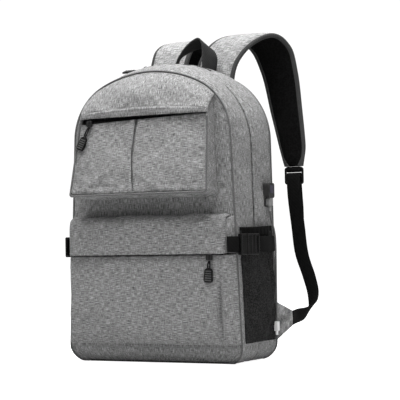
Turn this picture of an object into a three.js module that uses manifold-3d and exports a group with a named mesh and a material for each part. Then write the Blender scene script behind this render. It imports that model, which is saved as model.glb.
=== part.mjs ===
// Laptop backpack with an outside USB charging port, a power bank inside and a short charging lead.
// Millimetres, +X to the wearer's left side (the port side), -Y front, +Y back (shoulder straps), +Z up.
// The origin is the middle of the underside of the base.
import * as THREE from 'three';
import { mergeVertices } from 'three/addons/utils/BufferGeometryUtils.js';
import Module from 'manifold-3d';

const wasm = await Module();
wasm.setup();

// ---- driving dimensions ----------------------------------------------------------------------
const GAP = 0.3;                  // left between pieces that are sewn or pressed together
const CLOTH = 3;                  // padded fabric of the bag walls
const POCKET_CLOTH = 2.5;         // fabric of the front pockets
const BODY = { front: -64, back: 64, cornerRadius: 28 };
// The outline at the front seam, at the main zip and at the back seam.
const OUTLINE = {
  halfBase: [155, 155, 157],      // half width just above the base
  halfShoulder: [141, 148, 152],  // half width where the arch starts
  height: [466, 482, 478],        // top of the arch
  topRadius: [200, 158, 200],     // the arc over the top; the main slider runs along the middle one
  topAngle: [26, 38, 26],         // degrees that it spans each way
};
const ZIP = { halfWidth: 7, end: 200, tape: 2.4 };
const PIPING = 1.5;               // radius of the corded seams
// Front pockets: edge is how far the face's sides stand forward, at its top and at its bottom.
const UPPER = {
  bottom: 270, top: 382, lip: 393, half: 121, halfTop: 114, edge: 90, edgeLow: 112, crown: 5,
};
const LOWER = { bottom: 30, top: 162, lip: 174, roof: 232, half: 139, edge: 86, edgeLow: 86, crown: 5 };
const SIDE_POCKET = { bottom: 34, top: 214, front: -50, back: 56, bulge: 13, net: 2 };
const WEB = { width: 25, thick: 1.6 };
const SIDE_STRAP = { level: 187, x: 150, y: -85, angle: THREE.MathUtils.degToRad(20) };
const BUCKLE = { start: 18, width: 33, thick: 7, maleLength: 25, femaleLength: 27 };
const PORT = { y: 42, level: 266, width: 22, height: 38, proud: 10 };
const LEAD = { diameter: 3 };
const STRAP = { thick: 12 };
const ADJUSTER = { width: 34, height: 29, thick: 3.5, slotHalf: 13.8, bend: 3.4 };
const BANK = { x: 90, y: 23.5, low: 96, width: 68, thick: 15, height: 129 };
const SLEEVE = { front: 34, thick: 5, half: 118, top: 340 };
const HANDLE = { front: 18, back: 58, thick: 2.2 };
const TAG = { width: 16, length: 23, neck: 3.4, thick: 2.4 };
const SLIDER = { width: 10, length: 10, thick: 4.5, clearance: 1.8 };

// ---- materials -------------------------------------------------------------------------------
function finish(color, roughness, metalness = 0) {
  return new THREE.MeshStandardMaterial({ color, roughness, metalness });
}

const GREY_FABRIC = finish(0x8f8f91, 0.95);
const DARK_TRIM = finish(0x4c4c4f, 0.9);
const WEBBING = finish(0x17171a, 0.85);
const NET = finish(0x2a2a2d, 0.9);
const LINING = finish(0x303134, 0.95);
const ZIP_BLACK = finish(0x111113, 0.6);
const BUCKLE_PLASTIC = finish(0x1b1b1e, 0.45);
const RUBBER = finish(0x1d1c20, 0.7);
const STEEL = finish(0xb9babd, 0.35, 1);
const PLUG_GREY = finish(0xb7b8ba, 0.5);
const LEAD_GREY = finish(0x8b8c8e, 0.6);
const WHITE_PLASTIC = finish(0xe6e6e6, 0.4);
const BANK_PLASTIC = finish(0x3a3b3f, 0.4);

const backpack = new THREE.Group();
const SIDES = [['left', -1], ['right', 1]];

// ---- mesh helpers ----------------------------------------------------------------------------
// A closed solid from a grid of rows: each row is one closed section, and the two ends are capped.
function closedFromRows(rows) {
  const positions = [];
  const index = [];
  const count = rows[0].length;
  for (const row of rows) for (const point of row) positions.push(point.x, point.y, point.z);
  for (let i = 0; i + 1 < rows.length; i++) {
    for (let j = 0; j < count; j++) {
      const a = i * count + j;
      const b = i * count + (j + 1) % count;
      index.push(a, b, b + count, a, b + count, a + count);
    }
  }
  const last = (rows.length - 1) * count;
  const half = count / 2;
  for (let j = 0; j + 1 < half; j++) {
    const mirrored = count - 1 - j;
    index.push(j, mirrored, mirrored - 1, j, mirrored - 1, j + 1);
    index.push(last + j, last + mirrored - 1, last + mirrored, last + j, last + j + 1, last + mirrored - 1);
  }
  return orientOutward(positions, index);
}

// Turns the triangles over when they face inwards, which the sign of the volume tells.
function orientOutward(positions, index) {
  const corner = (k) => new THREE.Vector3().fromArray(positions, 3 * index[k]);
  let volume = 0;
  for (let k = 0; k < index.length; k += 3) volume += corner(k).dot(corner(k + 1).cross(corner(k + 2)));
  if (volume < 0) index.reverse();
  const geometry = new THREE.BufferGeometry();
  geometry.setAttribute('position', new THREE.Float32BufferAttribute(positions, 3));
  geometry.setIndex(index);
  return geometry;
}

// A slab between an outer and an inner surface, each a function of (i, j) on a grid.
function slab(rows, columns, outer, inner) {
  const sections = [];
  for (let i = 0; i <= rows; i++) {
    const section = [];
    for (let j = 0; j <= columns; j++) section.push(outer(i, j));
    for (let j = columns; j >= 0; j--) section.push(inner(i, j));
    sections.push(section);
  }
  return closedFromRows(sections);
}

// A flat strap through stations [centre, half-width vector], with one thickness all along.
function ribbon(stations, thickness, steps) {
  const curveOf = (pick) => {
    const points = stations.map((station) => new THREE.Vector3(...station[pick]));
    return new THREE.CatmullRomCurve3(points, false, 'centripetal');
  };
  const centres = curveOf(0);
  const halves = curveOf(1);
  const lift = (i, side) => {
    const t = i / steps;
    const half = halves.getPoint(t);
    const across = new THREE.Vector3().crossVectors(centres.getTangent(t), half).normalize();
    return { centre: centres.getPoint(t).addScaledVector(across, side * thickness / 2), half };
  };
  const place = (side) => (i, j) => {
    const { centre, half } = lift(i, side);
    return centre.addScaledVector(half, j === 0 ? -1 : 1);
  };
  return slab(steps, 1, place(1), place(-1));
}

function tube(points, radius, sides, steps) {
  const section = new THREE.Shape().absarc(0, 0, radius, 0, 2 * Math.PI, false);
  const path = new THREE.CatmullRomCurve3(points, false, 'centripetal');
  return new THREE.ExtrudeGeometry(section, {
    steps, curveSegments: sides / 2, bevelEnabled: false, extrudePath: path,
  });
}

// A plate whose outline is drawn in X and Z, spanning from its front face back by its thickness.
function plate(shape, frontY, thickness, curveSegments = 6) {
  const settings = { depth: thickness, bevelEnabled: false, curveSegments };
  const geometry = new THREE.ExtrudeGeometry(shape, settings);
  return geometry.rotateX(Math.PI / 2).translate(0, frontY + thickness, 0);
}

function roundedRectangle(width, height, radius) {
  const shape = new THREE.Shape();
  const x = width / 2;
  const y = height / 2;
  shape.moveTo(x, -y + radius);
  shape.absarc(x - radius, y - radius, radius, 0, Math.PI / 2, false);
  shape.absarc(-x + radius, y - radius, radius, Math.PI / 2, Math.PI, false);
  shape.absarc(-x + radius, -y + radius, radius, Math.PI, 1.5 * Math.PI, false);
  shape.absarc(x - radius, -y + radius, radius, 1.5 * Math.PI, 2 * Math.PI, false);
  return shape;
}

function block(minimum, maximum) {
  const low = new THREE.Vector3(...minimum);
  const high = new THREE.Vector3(...maximum);
  const size = high.clone().sub(low);
  const middle = low.add(high).multiplyScalar(0.5);
  return new THREE.BoxGeometry(size.x, size.y, size.z).translate(middle.x, middle.y, middle.z);
}

function toSolid(geometry) {
  const bare = geometry.clone();
  bare.deleteAttribute('normal');
  bare.deleteAttribute('uv');
  const merged = mergeVertices(bare, 1e-4);
  return new wasm.Manifold(new wasm.Mesh({
    numProp: 3,
    vertProperties: new Float32Array(merged.attributes.position.array),
    triVerts: new Uint32Array(merged.index.array),
  }));
}

function toGeometry(solid) {
  const mesh = solid.getMesh();
  const geometry = new THREE.BufferGeometry();
  geometry.setAttribute('position', new THREE.BufferAttribute(new Float32Array(mesh.vertProperties), 3));
  geometry.setIndex(Array.from(mesh.triVerts));
  return geometry;
}

function cut(geometry, ...tools) {
  const solid = tools.reduce((rest, tool) => rest.subtract(toSolid(tool)), toSolid(geometry));
  return toGeometry(solid);
}

function join(geometry, ...more) {
  const solid = more.reduce((sum, piece) => sum.add(toSolid(piece)), toSolid(geometry));
  return toGeometry(solid);
}

function add(parent, name, geometry, material) {
  const mesh = new THREE.Mesh(geometry, material);
  mesh.name = name;
  parent.add(mesh);
  return mesh;
}

// ---- the bag's outline -----------------------------------------------------------------------
// Each size of the outline at a depth, on the parabola through its three values.
function outlineSizes(y) {
  const share = y / BODY.back;
  const at = ([front, middle, back]) => middle + share * (back - front) / 2
    + share * share * ((front + back) / 2 - middle);
  const halfBase = at(OUTLINE.halfBase);
  const halfShoulder = at(OUTLINE.halfShoulder);
  const topRadius = at(OUTLINE.topRadius);
  const topAngle = THREE.MathUtils.degToRad(at(OUTLINE.topAngle));
  const topCentre = at(OUTLINE.height) - topRadius;
  const sine = Math.sin(topAngle);
  const shoulderRadius = (halfShoulder - topRadius * sine) / (1 - sine);
  const shoulderX = (topRadius - shoulderRadius) * sine;
  const shoulderZ = topCentre + (topRadius - shoulderRadius) * Math.cos(topAngle);
  return { halfBase, halfShoulder, topRadius, topAngle, topCentre, shoulderRadius, shoulderX, shoulderZ };
}

// Half width of the bag at a depth and a height on its straight side.
function sideX(y, z) {
  const s = outlineSizes(y);
  return THREE.MathUtils.mapLinear(z, BODY.cornerRadius, s.shoulderZ, s.halfBase, s.halfShoulder);
}

// Points of the arch from the left end of the base, over the top, to the right end; levels adds points
// on the straight sides.
function archPoints(y, levels = [100, 200, 300]) {
  const s = outlineSizes(y);
  const right = [];
  const arc = (cx, cz, radius, from, to, parts) => {
    for (let k = 0; k <= parts; k++) {
      const angle = from + (to - from) * k / parts;
      right.push(new THREE.Vector2(cx + radius * Math.cos(angle), cz + radius * Math.sin(angle)));
    }
  };
  arc(s.halfBase - BODY.cornerRadius, BODY.cornerRadius, BODY.cornerRadius, -Math.PI / 2, 0, 4);
  for (const level of levels) right.push(new THREE.Vector2(sideX(y, level), level));
  arc(s.shoulderX, s.shoulderZ, s.shoulderRadius, 0, Math.PI / 2 - s.topAngle, 6);
  right.pop();
  arc(0, s.topCentre, s.topRadius, Math.PI / 2 - s.topAngle, Math.PI / 2, 5);
  const left = right.slice(0, -1).map((p) => new THREE.Vector2(-p.x, p.y));
  return [...left, ...right.reverse()];
}

// The same points moved along the outline's normal, inwards when the distance is positive.
function offset(points, distance) {
  return points.map((point, i) => {
    const before = points[Math.max(i - 1, 0)];
    const after = points[Math.min(i + 1, points.length - 1)];
    const along = after.clone().sub(before).normalize();
    return new THREE.Vector2(point.x + along.y * distance, point.y - along.x * distance);
  });
}

function archShape(y) {
  return new THREE.Shape(archPoints(y));
}

// A band of the arch between two depths; edge(z) may step a depth where the zip ends.
function archBand(depths, thickness, levels, pointsOf = (points) => points) {
  const fixedRing = (depth) => pointsOf(archPoints(depth, levels));
  const outerRings = depths.map((depth) => (typeof depth === 'function' ? null : fixedRing(depth)));
  const ring = (i, j) => {
    const depth = depths[j];
    if (typeof depth !== 'function') return { y: depth, points: outerRings[j] };
    const y = depth(pointsOf(archPoints(0, levels))[i].y);
    return { y, points: fixedRing(y) };
  };
  const rows = pointsOf(archPoints(0, levels)).length - 1;
  const surface = (distance) => (i, j) => {
    const { y, points } = ring(i, j);
    const moved = offset(points, distance)[i];
    return new THREE.Vector3(moved.x, y, moved.y);
  };
  return slab(rows, depths.length - 1, surface(0), surface(thickness));
}

// ---- walls of the bag ------------------------------------------------------------------------
const RINGS = [25, 44];           // depths between the zip and a seam where a wall has points

function buildWalls() {
  const front = BODY.front;
  const back = BODY.back;
  add(backpack, 'front_panel', plate(archShape(front), front, CLOTH), GREY_FABRIC);
  add(backpack, 'back_panel', plate(archShape(back), back - CLOTH, CLOTH), DARK_TRIM);

  const inner = CLOTH + GAP;
  const zipEdge = ZIP.halfWidth;
  add(backpack, 'front_gusset', archBand([front + inner, -RINGS[1], -RINGS[0], -zipEdge], CLOTH), GREY_FABRIC);

  const levels = [100, ZIP.end - 1, ZIP.end, 300];
  const rearEdge = (z) => (z < ZIP.end - 0.5 ? GAP - zipEdge : zipEdge);
  const rear = archBand([rearEdge, ...RINGS, back - inner], CLOTH, levels);
  const x = sideX(PORT.y, PORT.level);
  const hole = block([x - 20, PORT.y - 7, PORT.level - 12], [x + 20, PORT.y + 7, PORT.level + 12]);
  add(backpack, 'rear_gusset', cut(rear, hole), GREY_FABRIC);

  const aboveEnd = (points) => points
    .filter((p) => p.y > ZIP.end - 0.5)
    .map((p) => new THREE.Vector2(p.x, Math.max(p.y, ZIP.end + 0.5)));
  const tapeEdge = zipEdge - GAP;
  add(backpack, 'main_zipper', archBand([-tapeEdge, 0, tapeEdge], ZIP.tape, levels, aboveEnd), ZIP_BLACK);

  const edge = (y) => outlineSizes(y).halfBase - BODY.cornerRadius - 1.2;
  const depths = [front + inner, -RINGS[1], -RINGS[0], 0, ...RINGS, back - inner];
  const base = new THREE.Shape([
    ...depths.map((y) => new THREE.Vector2(edge(y), y)),
    ...depths.slice().reverse().map((y) => new THREE.Vector2(-edge(y), y)),
  ]);
  const panel = new THREE.ExtrudeGeometry(base, { depth: CLOTH, bevelEnabled: false });
  add(backpack, 'base_panel', panel, DARK_TRIM);

  for (const [name, y] of [['front_piping', front], ['rear_piping', back]]) {
    const points = offset(archPoints(y), -PIPING - 2 * GAP).slice(3, -3);
    const path = points.map((p) => new THREE.Vector3(p.x, y, p.y));
    add(backpack, name, tube(path, PIPING, 8, 60), DARK_TRIM);
  }
}

// ---- front pockets ---------------------------------------------------------------------------
// Across its top a pocket's face is an arc, crowned in the middle, whose centre lies far behind the bag.
const crownRadius = (pocket) => (pocket.half ** 2 + pocket.crown ** 2) / (2 * pocket.crown);
const crownCentre = (pocket) => crownRadius(pocket) - pocket.edge - pocket.crown;

// Lower down the face stands further forward, in a straight slope.
function faceY(pocket, x, z) {
  const lean = pocket.edgeLow - pocket.edge;
  const slope = Math.max(THREE.MathUtils.mapLinear(z, pocket.top, pocket.bottom, 0, lean), 0);
  return crownCentre(pocket) - Math.sqrt(crownRadius(pocket) ** 2 - x * x) - slope;
}

// A crowned sheet between two heights; halfAt(z) is its half width, yAt(x, z) its front face.
function crownedSheet(low, high, halfAt, yAt, thickness, rows = 4, columns = 12) {
  const point = (push) => (i, j) => {
    const z = low + (high - low) * i / rows;
    const x = halfAt(z) * (2 * j / columns - 1);
    return new THREE.Vector3(x, yAt(x, z) + push, z);
  };
  return slab(rows, columns, point(0), point(thickness));
}

// A side wall from a pocket's face back to the front panel, between two paths of (x, z) points.
function pocketGusset(path, backPath, yAt, thickness) {
  const surface = (distance) => {
    const near = offset(path, distance);
    const far = offset(backPath, distance);
    return (i, j) => {
      const front = new THREE.Vector3(near[i].x, yAt(path[i].x, path[i].y) + 1 + thickness, near[i].y);
      const back = new THREE.Vector3(far[i].x, BODY.front - GAP, far[i].y);
      return front.lerp(back, j / 3);
    };
  };
  return slab(path.length - 1, 3, surface(0), surface(thickness));
}

// A U of points round a pocket: down the right side, along the bottom and up the left side.
function pocketU(halfTop, halfBottom, top, bottom, radius) {
  const points = [];
  for (let k = 0; k <= 3; k++) {
    const share = k / 4;
    points.push(new THREE.Vector2(-THREE.MathUtils.lerp(halfTop, halfBottom, share),
      THREE.MathUtils.lerp(top, bottom + radius, share)));
  }
  for (let k = 0; k <= 4; k++) {
    const angle = Math.PI + k * Math.PI / 8;
    points.push(new THREE.Vector2(-halfBottom + radius + radius * Math.cos(angle),
      bottom + radius + radius * Math.sin(angle)));
  }
  for (let k = 1; k <= 4; k++) points.push(new THREE.Vector2((k / 4 - 1) * (halfBottom - radius), bottom));
  return [...points.map((p) => new THREE.Vector2(-p.x, p.y)), ...points.slice(0, -1).reverse()];
}

function buildUpperPocket() {
  const p = UPPER;
  const halfAt = (z) => THREE.MathUtils.mapLinear(z, p.bottom, p.top, p.half, p.halfTop);
  const yAt = (x, z) => faceY(p, x, z);
  const face = crownedSheet(p.bottom, p.top, halfAt, yAt, POCKET_CLOTH);
  add(backpack, 'upper_pocket_front', face, GREY_FABRIC);

  const around = pocketU(p.halfTop, p.half, p.top, p.bottom, 6);
  const sewnTo = pocketU(p.halfTop - 2, p.half - 5, p.top, p.bottom - 8, 10);
  add(backpack, 'upper_pocket_gusset', pocketGusset(around, sewnTo, yAt, POCKET_CLOTH), GREY_FABRIC);
  const rim = pocketU(p.halfTop, p.half, p.top, p.bottom, 0.8);
  const piping = offset(rim, -3.5).map((q) => new THREE.Vector3(q.x, yAt(q.x, q.y) - 0.3, q.y));
  add(backpack, 'upper_pocket_piping', tube(piping, 1.7, 8, 48), DARK_TRIM);

  const chainHalf = () => p.halfTop - 2;
  const chainY = (x) => yAt(x, p.top) + 1.5;
  const chain = crownedSheet(p.top + 0.5, p.lip - 3, chainHalf, chainY, 2, 1);
  add(backpack, 'upper_pocket_zipper', chain, ZIP_BLACK);

  // The hood runs from the arch seam down to a lip that hangs over the zip.
  const s = outlineSizes(BODY.front);
  const archZ = (x) => {
    const size = Math.abs(x);
    if (size < s.topRadius * Math.sin(s.topAngle)) return s.topCentre + Math.sqrt(s.topRadius ** 2 - x * x);
    return s.shoulderZ + Math.sqrt(s.shoulderRadius ** 2 - (size - s.shoulderX) ** 2);
  };
  const hoodHalf = p.halfTop + 1;
  const hood = (push) => (i, j) => {
    const x = hoodHalf * (2 * i / 20 - 1);
    const top = Math.max(archZ(x) - 4, p.lip + 5);
    const share = j / 5;
    const lipY = yAt(x, p.top) - 3;
    const y = THREE.MathUtils.lerp(BODY.front - 4, lipY, Math.sin(share * Math.PI / 2));
    return new THREE.Vector3(x, y + push, THREE.MathUtils.lerp(top, p.lip, share));
  };
  add(backpack, 'upper_flap', slab(20, 5, hood(0), hood(POCKET_CLOTH)), GREY_FABRIC);
}

function buildLowerPocket() {
  const p = LOWER;
  const half = () => p.half;
  const yAt = (x, z) => faceY(p, x, z);
  const face = crownedSheet(p.bottom, p.top, half, yAt, POCKET_CLOTH);
  add(backpack, 'lower_pocket_front', face, GREY_FABRIC);

  const around = pocketU(p.half, p.half, p.roof, p.bottom, 12);
  const roof = [
    ...[0.005, 0.35, 0.65].map((share) => new THREE.Vector2(share * p.half, p.roof)),
    new THREE.Vector2(p.half - 3, p.roof - 1),
  ];
  const mirrored = roof.slice().reverse().map((q) => new THREE.Vector2(-q.x, q.y));
  const ring = [...roof, ...around.slice(1, -1), ...mirrored];
  const gusset = pocketGusset(ring, offset(ring, -3), yAt, POCKET_CLOTH);
  add(backpack, 'lower_pocket_gusset', gusset, GREY_FABRIC);

  const chainHalf = () => p.half - 3;
  const chain = crownedSheet(p.top + 0.5, p.lip - 1, chainHalf, (x) => yAt(x, p.top) + 1.5, 2, 1);
  add(backpack, 'lower_pocket_zipper', chain, ZIP_BLACK);

  const flapY = (x, z) => yAt(x, p.top) - THREE.MathUtils.mapLinear(z, p.lip, p.roof, 3.5, 0);
  const flap = crownedSheet(p.lip, p.roof, half, flapY, POCKET_CLOTH);
  add(backpack, 'lower_pocket_flap', flap, GREY_FABRIC);
}

// ---- side pockets and side straps ------------------------------------------------------------
// How far the stretch pocket stands off the bag's side.
function pocketBulge(y, z) {
  const p = SIDE_POCKET;
  const middle = (p.front + p.back) / 2;
  const across = Math.cos((Math.PI / 2) * (y - middle) / ((p.back - p.front) / 2));
  const rise = Math.min((z - p.bottom) / 45, 1);
  const fall = THREE.MathUtils.smoothstep(z, 120, 180);
  const up = Math.sin(rise * Math.PI / 2) * (1 - 0.4 * fall);
  return p.bulge * Math.max(across, 0) ** 0.7 * up;
}

function buildSidePocket(name, side) {
  const p = SIDE_POCKET;
  const surface = (push) => (i, j) => {
    const y = THREE.MathUtils.lerp(p.front, p.back, i / 10);
    const z = THREE.MathUtils.lerp(p.bottom, p.top, j / 8);
    return new THREE.Vector3(side * (sideX(y, z) + 3 + pocketBulge(y, z) + push), y, z);
  };
  add(backpack, `side_pocket_${name}`, slab(10, 8, surface(0), surface(-p.net)), NET);
}

// The buckle lies in a frame whose +X runs back along the strap and whose +Z is up; Y is away from the bag.
function buildSideStrap(name, side) {
  const straight = new THREE.Group();
  straight.position.set(side * SIDE_STRAP.x, SIDE_STRAP.y, SIDE_STRAP.level);
  straight.rotation.z = side > 0 ? Math.PI / 2 - SIDE_STRAP.angle : Math.PI / 2 + SIDE_STRAP.angle;
  backpack.add(straight);

  const b = BUCKLE;
  const webHalf = WEB.width / 2;
  const t = WEB.thick / 2;
  const front = block([0, -t, -webHalf], [b.start - 0.5, t, webHalf]);
  add(straight, `front_strap_${name}`, front, WEBBING);

  // Male half: a flat body with a tunnel for the strap, and three prongs that enter the female half.
  const halfWide = b.width / 2;
  const halfThick = b.thick / 2;
  const bodyEnd = b.start + 13;
  const body = block([b.start, -halfThick, -halfWide], [bodyEnd, halfThick, halfWide]);
  const play = 0.8;
  const tunnel = block([b.start - 1, -t - play, -webHalf - play], [bodyEnd - 1.2, t + play, webHalf + play]);
  const prong = (z) => block([bodyEnd - 1, -2, z - 2.2], [b.start + b.maleLength, 2, z + 2.2]);
  const prongs = [-11, 0, 11].map(prong);
  add(straight, `buckle_male_${name}`, join(cut(body, tunnel), ...prongs), BUCKLE_PLASTIC);

  // Female half: a box with a chamber for the prongs and a slot at its back end for the rear strap.
  const mouth = bodyEnd + GAP + 0.2;
  const end = mouth + b.femaleLength;
  const shell = block([mouth, -halfThick, -halfWide], [end, halfThick, halfWide]);
  const chamber = block([mouth - 1, -2.5, -halfWide + 2.6], [mouth + 14, 2.5, halfWide - 2.6]);
  const slot = block([end - 4.6, -halfThick - 1, -webHalf - play], [end - 1.8, halfThick + 1, webHalf + play]);
  add(straight, `buckle_female_${name}`, cut(shell, chamber, slot), BUCKLE_PLASTIC);

  // Rear strap: from just behind the buckle, over the pocket, to the rear seam.
  const along = end + 0.6;
  const start = [
    SIDE_STRAP.x + along * Math.sin(SIDE_STRAP.angle),
    SIDE_STRAP.y + along * Math.cos(SIDE_STRAP.angle),
  ];
  const route = [
    start, [start[0] + 1.8, start[1] + 16], [start[0] + 0.6, start[1] + 38], [164, 40], [158.6, 60],
  ];
  const stations = route.map(([x, y]) => [[side * x, y, SIDE_STRAP.level], [0, 0, webHalf]]);
  add(backpack, `rear_strap_${name}`, ribbon(stations, WEB.thick, 16), WEBBING);
}

// ---- zip sliders and pull tabs ---------------------------------------------------------------
// A slider body lies flat on XZ with its front towards -Y; the tab hangs down from it.
function sliderGeometry(length, width) {
  const plateShape = roundedRectangle(width, length, 2.5);
  return plate(plateShape, -SLIDER.thick, SLIDER.thick, 3);
}

function tabGeometry(neckLength) {
  const half = TAG.width / 2;
  const neck = TAG.neck / 2;
  const shape = new THREE.Shape();
  shape.moveTo(-neck, 0);
  shape.lineTo(-neck, -neckLength);
  shape.lineTo(-half, -neckLength - 3);
  shape.lineTo(-half, -neckLength - TAG.length);
  shape.lineTo(half, -neckLength - TAG.length);
  shape.lineTo(half, -neckLength - 3);
  shape.lineTo(neck, -neckLength);
  shape.lineTo(neck, 0);
  return plate(shape, -TAG.thick, TAG.thick);
}

// place puts the slider; the tab starts just under it, leans by lean in the plane of the cloth, stands off
// it by lift and turns about its own length by roll.
function buildSlider(name, place, { lean = 0, lift = 0, roll = 0, neck }) {
  const group = new THREE.Group();
  place(group);
  backpack.add(group);
  add(group, `${name}_slider`, sliderGeometry(SLIDER.length, SLIDER.width), ZIP_BLACK);
  const tab = add(group, `${name}_pull_tab`, tabGeometry(neck), DARK_TRIM);
  tab.rotation.set(-lift, lean, roll);
  tab.position.set(0, -1.2, -SLIDER.length / 2 - SLIDER.clearance);
}

const degrees = THREE.MathUtils.degToRad;
// The main slider's angle is measured from the top of the arch, towards -X; its tab lies level.
const MAIN_SLIDER = { angle: degrees(-15), lift: degrees(15), roll: degrees(20), neck: 13 };
const UPPER_SLIDER = { x: -95, level: 385, lean: degrees(22), neck: 16 };
const LOWER_SLIDER = { x: 114, level: 167.5, lean: degrees(4), neck: 9 };

function buildSliders() {
  buildSlider('main', (group) => {
    const arch = outlineSizes(0);
    const radius = arch.topRadius + 0.5;
    const centre = arch.topCentre;
    const { angle } = MAIN_SLIDER;
    group.position.set(radius * Math.sin(angle), 0, centre + radius * Math.cos(angle));
    // Local -Y points out of the arch, and local -Z runs along it towards -X.
    const outward = new THREE.Vector3(Math.sin(angle), 0, Math.cos(angle));
    const back = new THREE.Vector3(Math.cos(angle), 0, -Math.sin(angle));
    const across = new THREE.Vector3().crossVectors(outward.clone().negate(), back);
    group.setRotationFromMatrix(new THREE.Matrix4().makeBasis(across, outward.clone().negate(), back));
  }, MAIN_SLIDER);
  const pockets = [['upper_pocket', UPPER, UPPER_SLIDER], ['lower_pocket', LOWER, LOWER_SLIDER]];
  for (const [name, pocket, slider] of pockets) {
    buildSlider(name, (group) => {
      const radius = crownRadius(pocket) + 0.6;
      const turn = Math.asin(slider.x / radius);
      group.position.set(slider.x, crownCentre(pocket) - radius * Math.cos(turn), slider.level);
      group.rotation.order = 'ZYX';
      group.rotation.z = turn;
      group.rotation.x = -Math.atan2(pocket.edgeLow - pocket.edge, pocket.top - pocket.bottom);
    }, slider);
  }
}

// ---- charging port, plug and lead ------------------------------------------------------------
const PORT_X = sideX(PORT.y + PORT.width / 2, PORT.level - PORT.height / 2) + GAP;
const PORT_MOUTH = PORT.level + PORT.height / 2 - 24;   // height of the socket's mouth, which faces down
const PLUG_X = PORT_X + 6.2;
const PLUG_GRIP = 12;             // length of a plug's grey grip

// A USB plug pointing up: a grey grip below its mouth and a metal tongue above it.
function plugGeometry(x, y, mouth, grip) {
  const body = roundedRectangle(14, grip, 2);
  const sleeve = plate(body, -3, 6, 3).rotateZ(-Math.PI / 2).translate(x, y, mouth - 0.6 - grip / 2);
  const tongue = block([x - 2, y - 6, mouth - 3], [x + 2, y + 6, mouth + 10.5]);
  return join(sleeve, tongue);
}

function buildPort() {
  const top = PORT.level + PORT.height / 2;
  const flange = plate(roundedRectangle(PORT.width, PORT.height, 4), PORT_X, 3, 3).rotateZ(-Math.PI / 2)
    .translate(0, PORT.y, PORT.level);
  const head = plate(roundedRectangle(PORT.width, top - PORT_MOUTH, 4), PORT_X, PORT.proud, 3)
    .rotateZ(-Math.PI / 2).translate(0, PORT.y, (top + PORT_MOUTH) / 2);
  const around = (x, low, high, halfX, halfY) => block(
    [x - halfX, PORT.y - halfY, low],
    [x + halfX, PORT.y + halfY, high],
  );
  const boss = around(PORT_X - 2.5, PORT.level - 11, PORT.level + 11, 3.5, 6.4);
  const cavity = around(PLUG_X, PORT_MOUTH - 1, PORT_MOUTH + 16, 3, 7.2);
  add(backpack, 'usb_port_housing', cut(join(flange, head, boss), cavity), RUBBER);

  const outer = around(PLUG_X, PORT_MOUTH + 0.5, PORT_MOUTH + 15.7, 2.7, 6.9);
  const inner = around(PLUG_X, PORT_MOUTH - 1, PORT_MOUTH + 14, 2.3, 6.4);
  add(backpack, 'usb_socket', cut(outer, inner), STEEL);
  add(backpack, 'usb_plug', plugGeometry(PLUG_X, PORT.y, PORT_MOUTH, PLUG_GRIP), PLUG_GREY);
}

// The charging lead hangs from the plug, clear of the side pocket and its strap, to a bare connector.
const LEAD_ROUTE = [
  [159.8, 247.9], [159.8, 242], [160.2, 236], [161.4, 228], [163.6, 219], [166, 210], [167.6, 200],
  [168.3, 188], [168.5, 174], [168.4, 158], [168.2, 140], [168, 120], [168, 100], [168, 80], [168, 62],
];

function buildLead() {
  const route = LEAD_ROUTE.map(([x, z]) => new THREE.Vector3(x, PORT.y, z));
  add(backpack, 'charging_lead', tube(route, LEAD.diameter / 2, 8, 30), LEAD_GREY);
  const end = route[route.length - 1];
  const grip = block([end.x - 3, end.y - 4.3, end.z - 15.3], [end.x + 3, end.y + 4.3, end.z - GAP]);
  const tip = block([end.x - 0.9, end.y - 3.4, end.z - 22], [end.x + 0.9, end.y + 3.4, end.z - 15]);
  add(backpack, 'lead_connector', join(grip, tip), WHITE_PLASTIC);
}

// ---- inside the bag --------------------------------------------------------------------------
function buildInside() {
  const b = BANK;
  const sleeveBack = SLEEVE.front + SLEEVE.thick;
  const sleeve = block([-SLEEVE.half, SLEEVE.front, 8], [SLEEVE.half, sleeveBack, SLEEVE.top]);
  add(backpack, 'laptop_sleeve', sleeve, LINING);
  const strapRoute = [[59.3, 402], [55, 396], [43, 378], [32.2, 356], [31.5, 338], [31.5, 318]];
  const stations = strapRoute.map(([y, z]) => [[0, y, z], [20, 0, 0]]);
  add(backpack, 'sleeve_strap', ribbon(stations, 2, 12), WEBBING);

  const low = [b.x - b.width / 2, b.y - b.thick / 2, b.low];
  const high = [b.x + b.width / 2, b.y + b.thick / 2, b.low + b.height];
  const top = high[2];
  const port = block([b.x - 6.4, b.y - 2.4, top - 13], [b.x + 6.4, b.y + 2.4, top + 1]);
  add(backpack, 'power_bank', cut(block(low, high), port), BANK_PLASTIC);
  const pouch = (wall, back, height) => block(
    [low[0] - wall, low[1] - wall, low[2] - wall],
    [high[0] + wall, back, low[2] + height],
  );
  const pouchOuter = pouch(3, SLEEVE.front - GAP, 90);
  const pouchInner = pouch(0.6, SLEEVE.front + 1, 91);
  add(backpack, 'power_bank_pouch', cut(pouchOuter, pouchInner), LINING);

  const plug = plugGeometry(0, 0, 0, PLUG_GRIP).rotateX(Math.PI).rotateZ(Math.PI / 2).translate(b.x, b.y, top);
  add(backpack, 'inner_plug', plug, PLUG_GREY);
  const route = [
    [PORT_X - 6.5, PORT.y, PORT.level], [PORT_X - 12, PORT.y - 1, PORT.level], [129, 30, 268],
    [111, b.y + 1, 268], [97, b.y, 262], [b.x, b.y, 250], [b.x, b.y, top + 13],
  ];
  const path = route.map((point) => new THREE.Vector3(...point));
  add(backpack, 'inner_lead', tube(path, LEAD.diameter / 2, 8, 24), LEAD_GREY);
}

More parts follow.
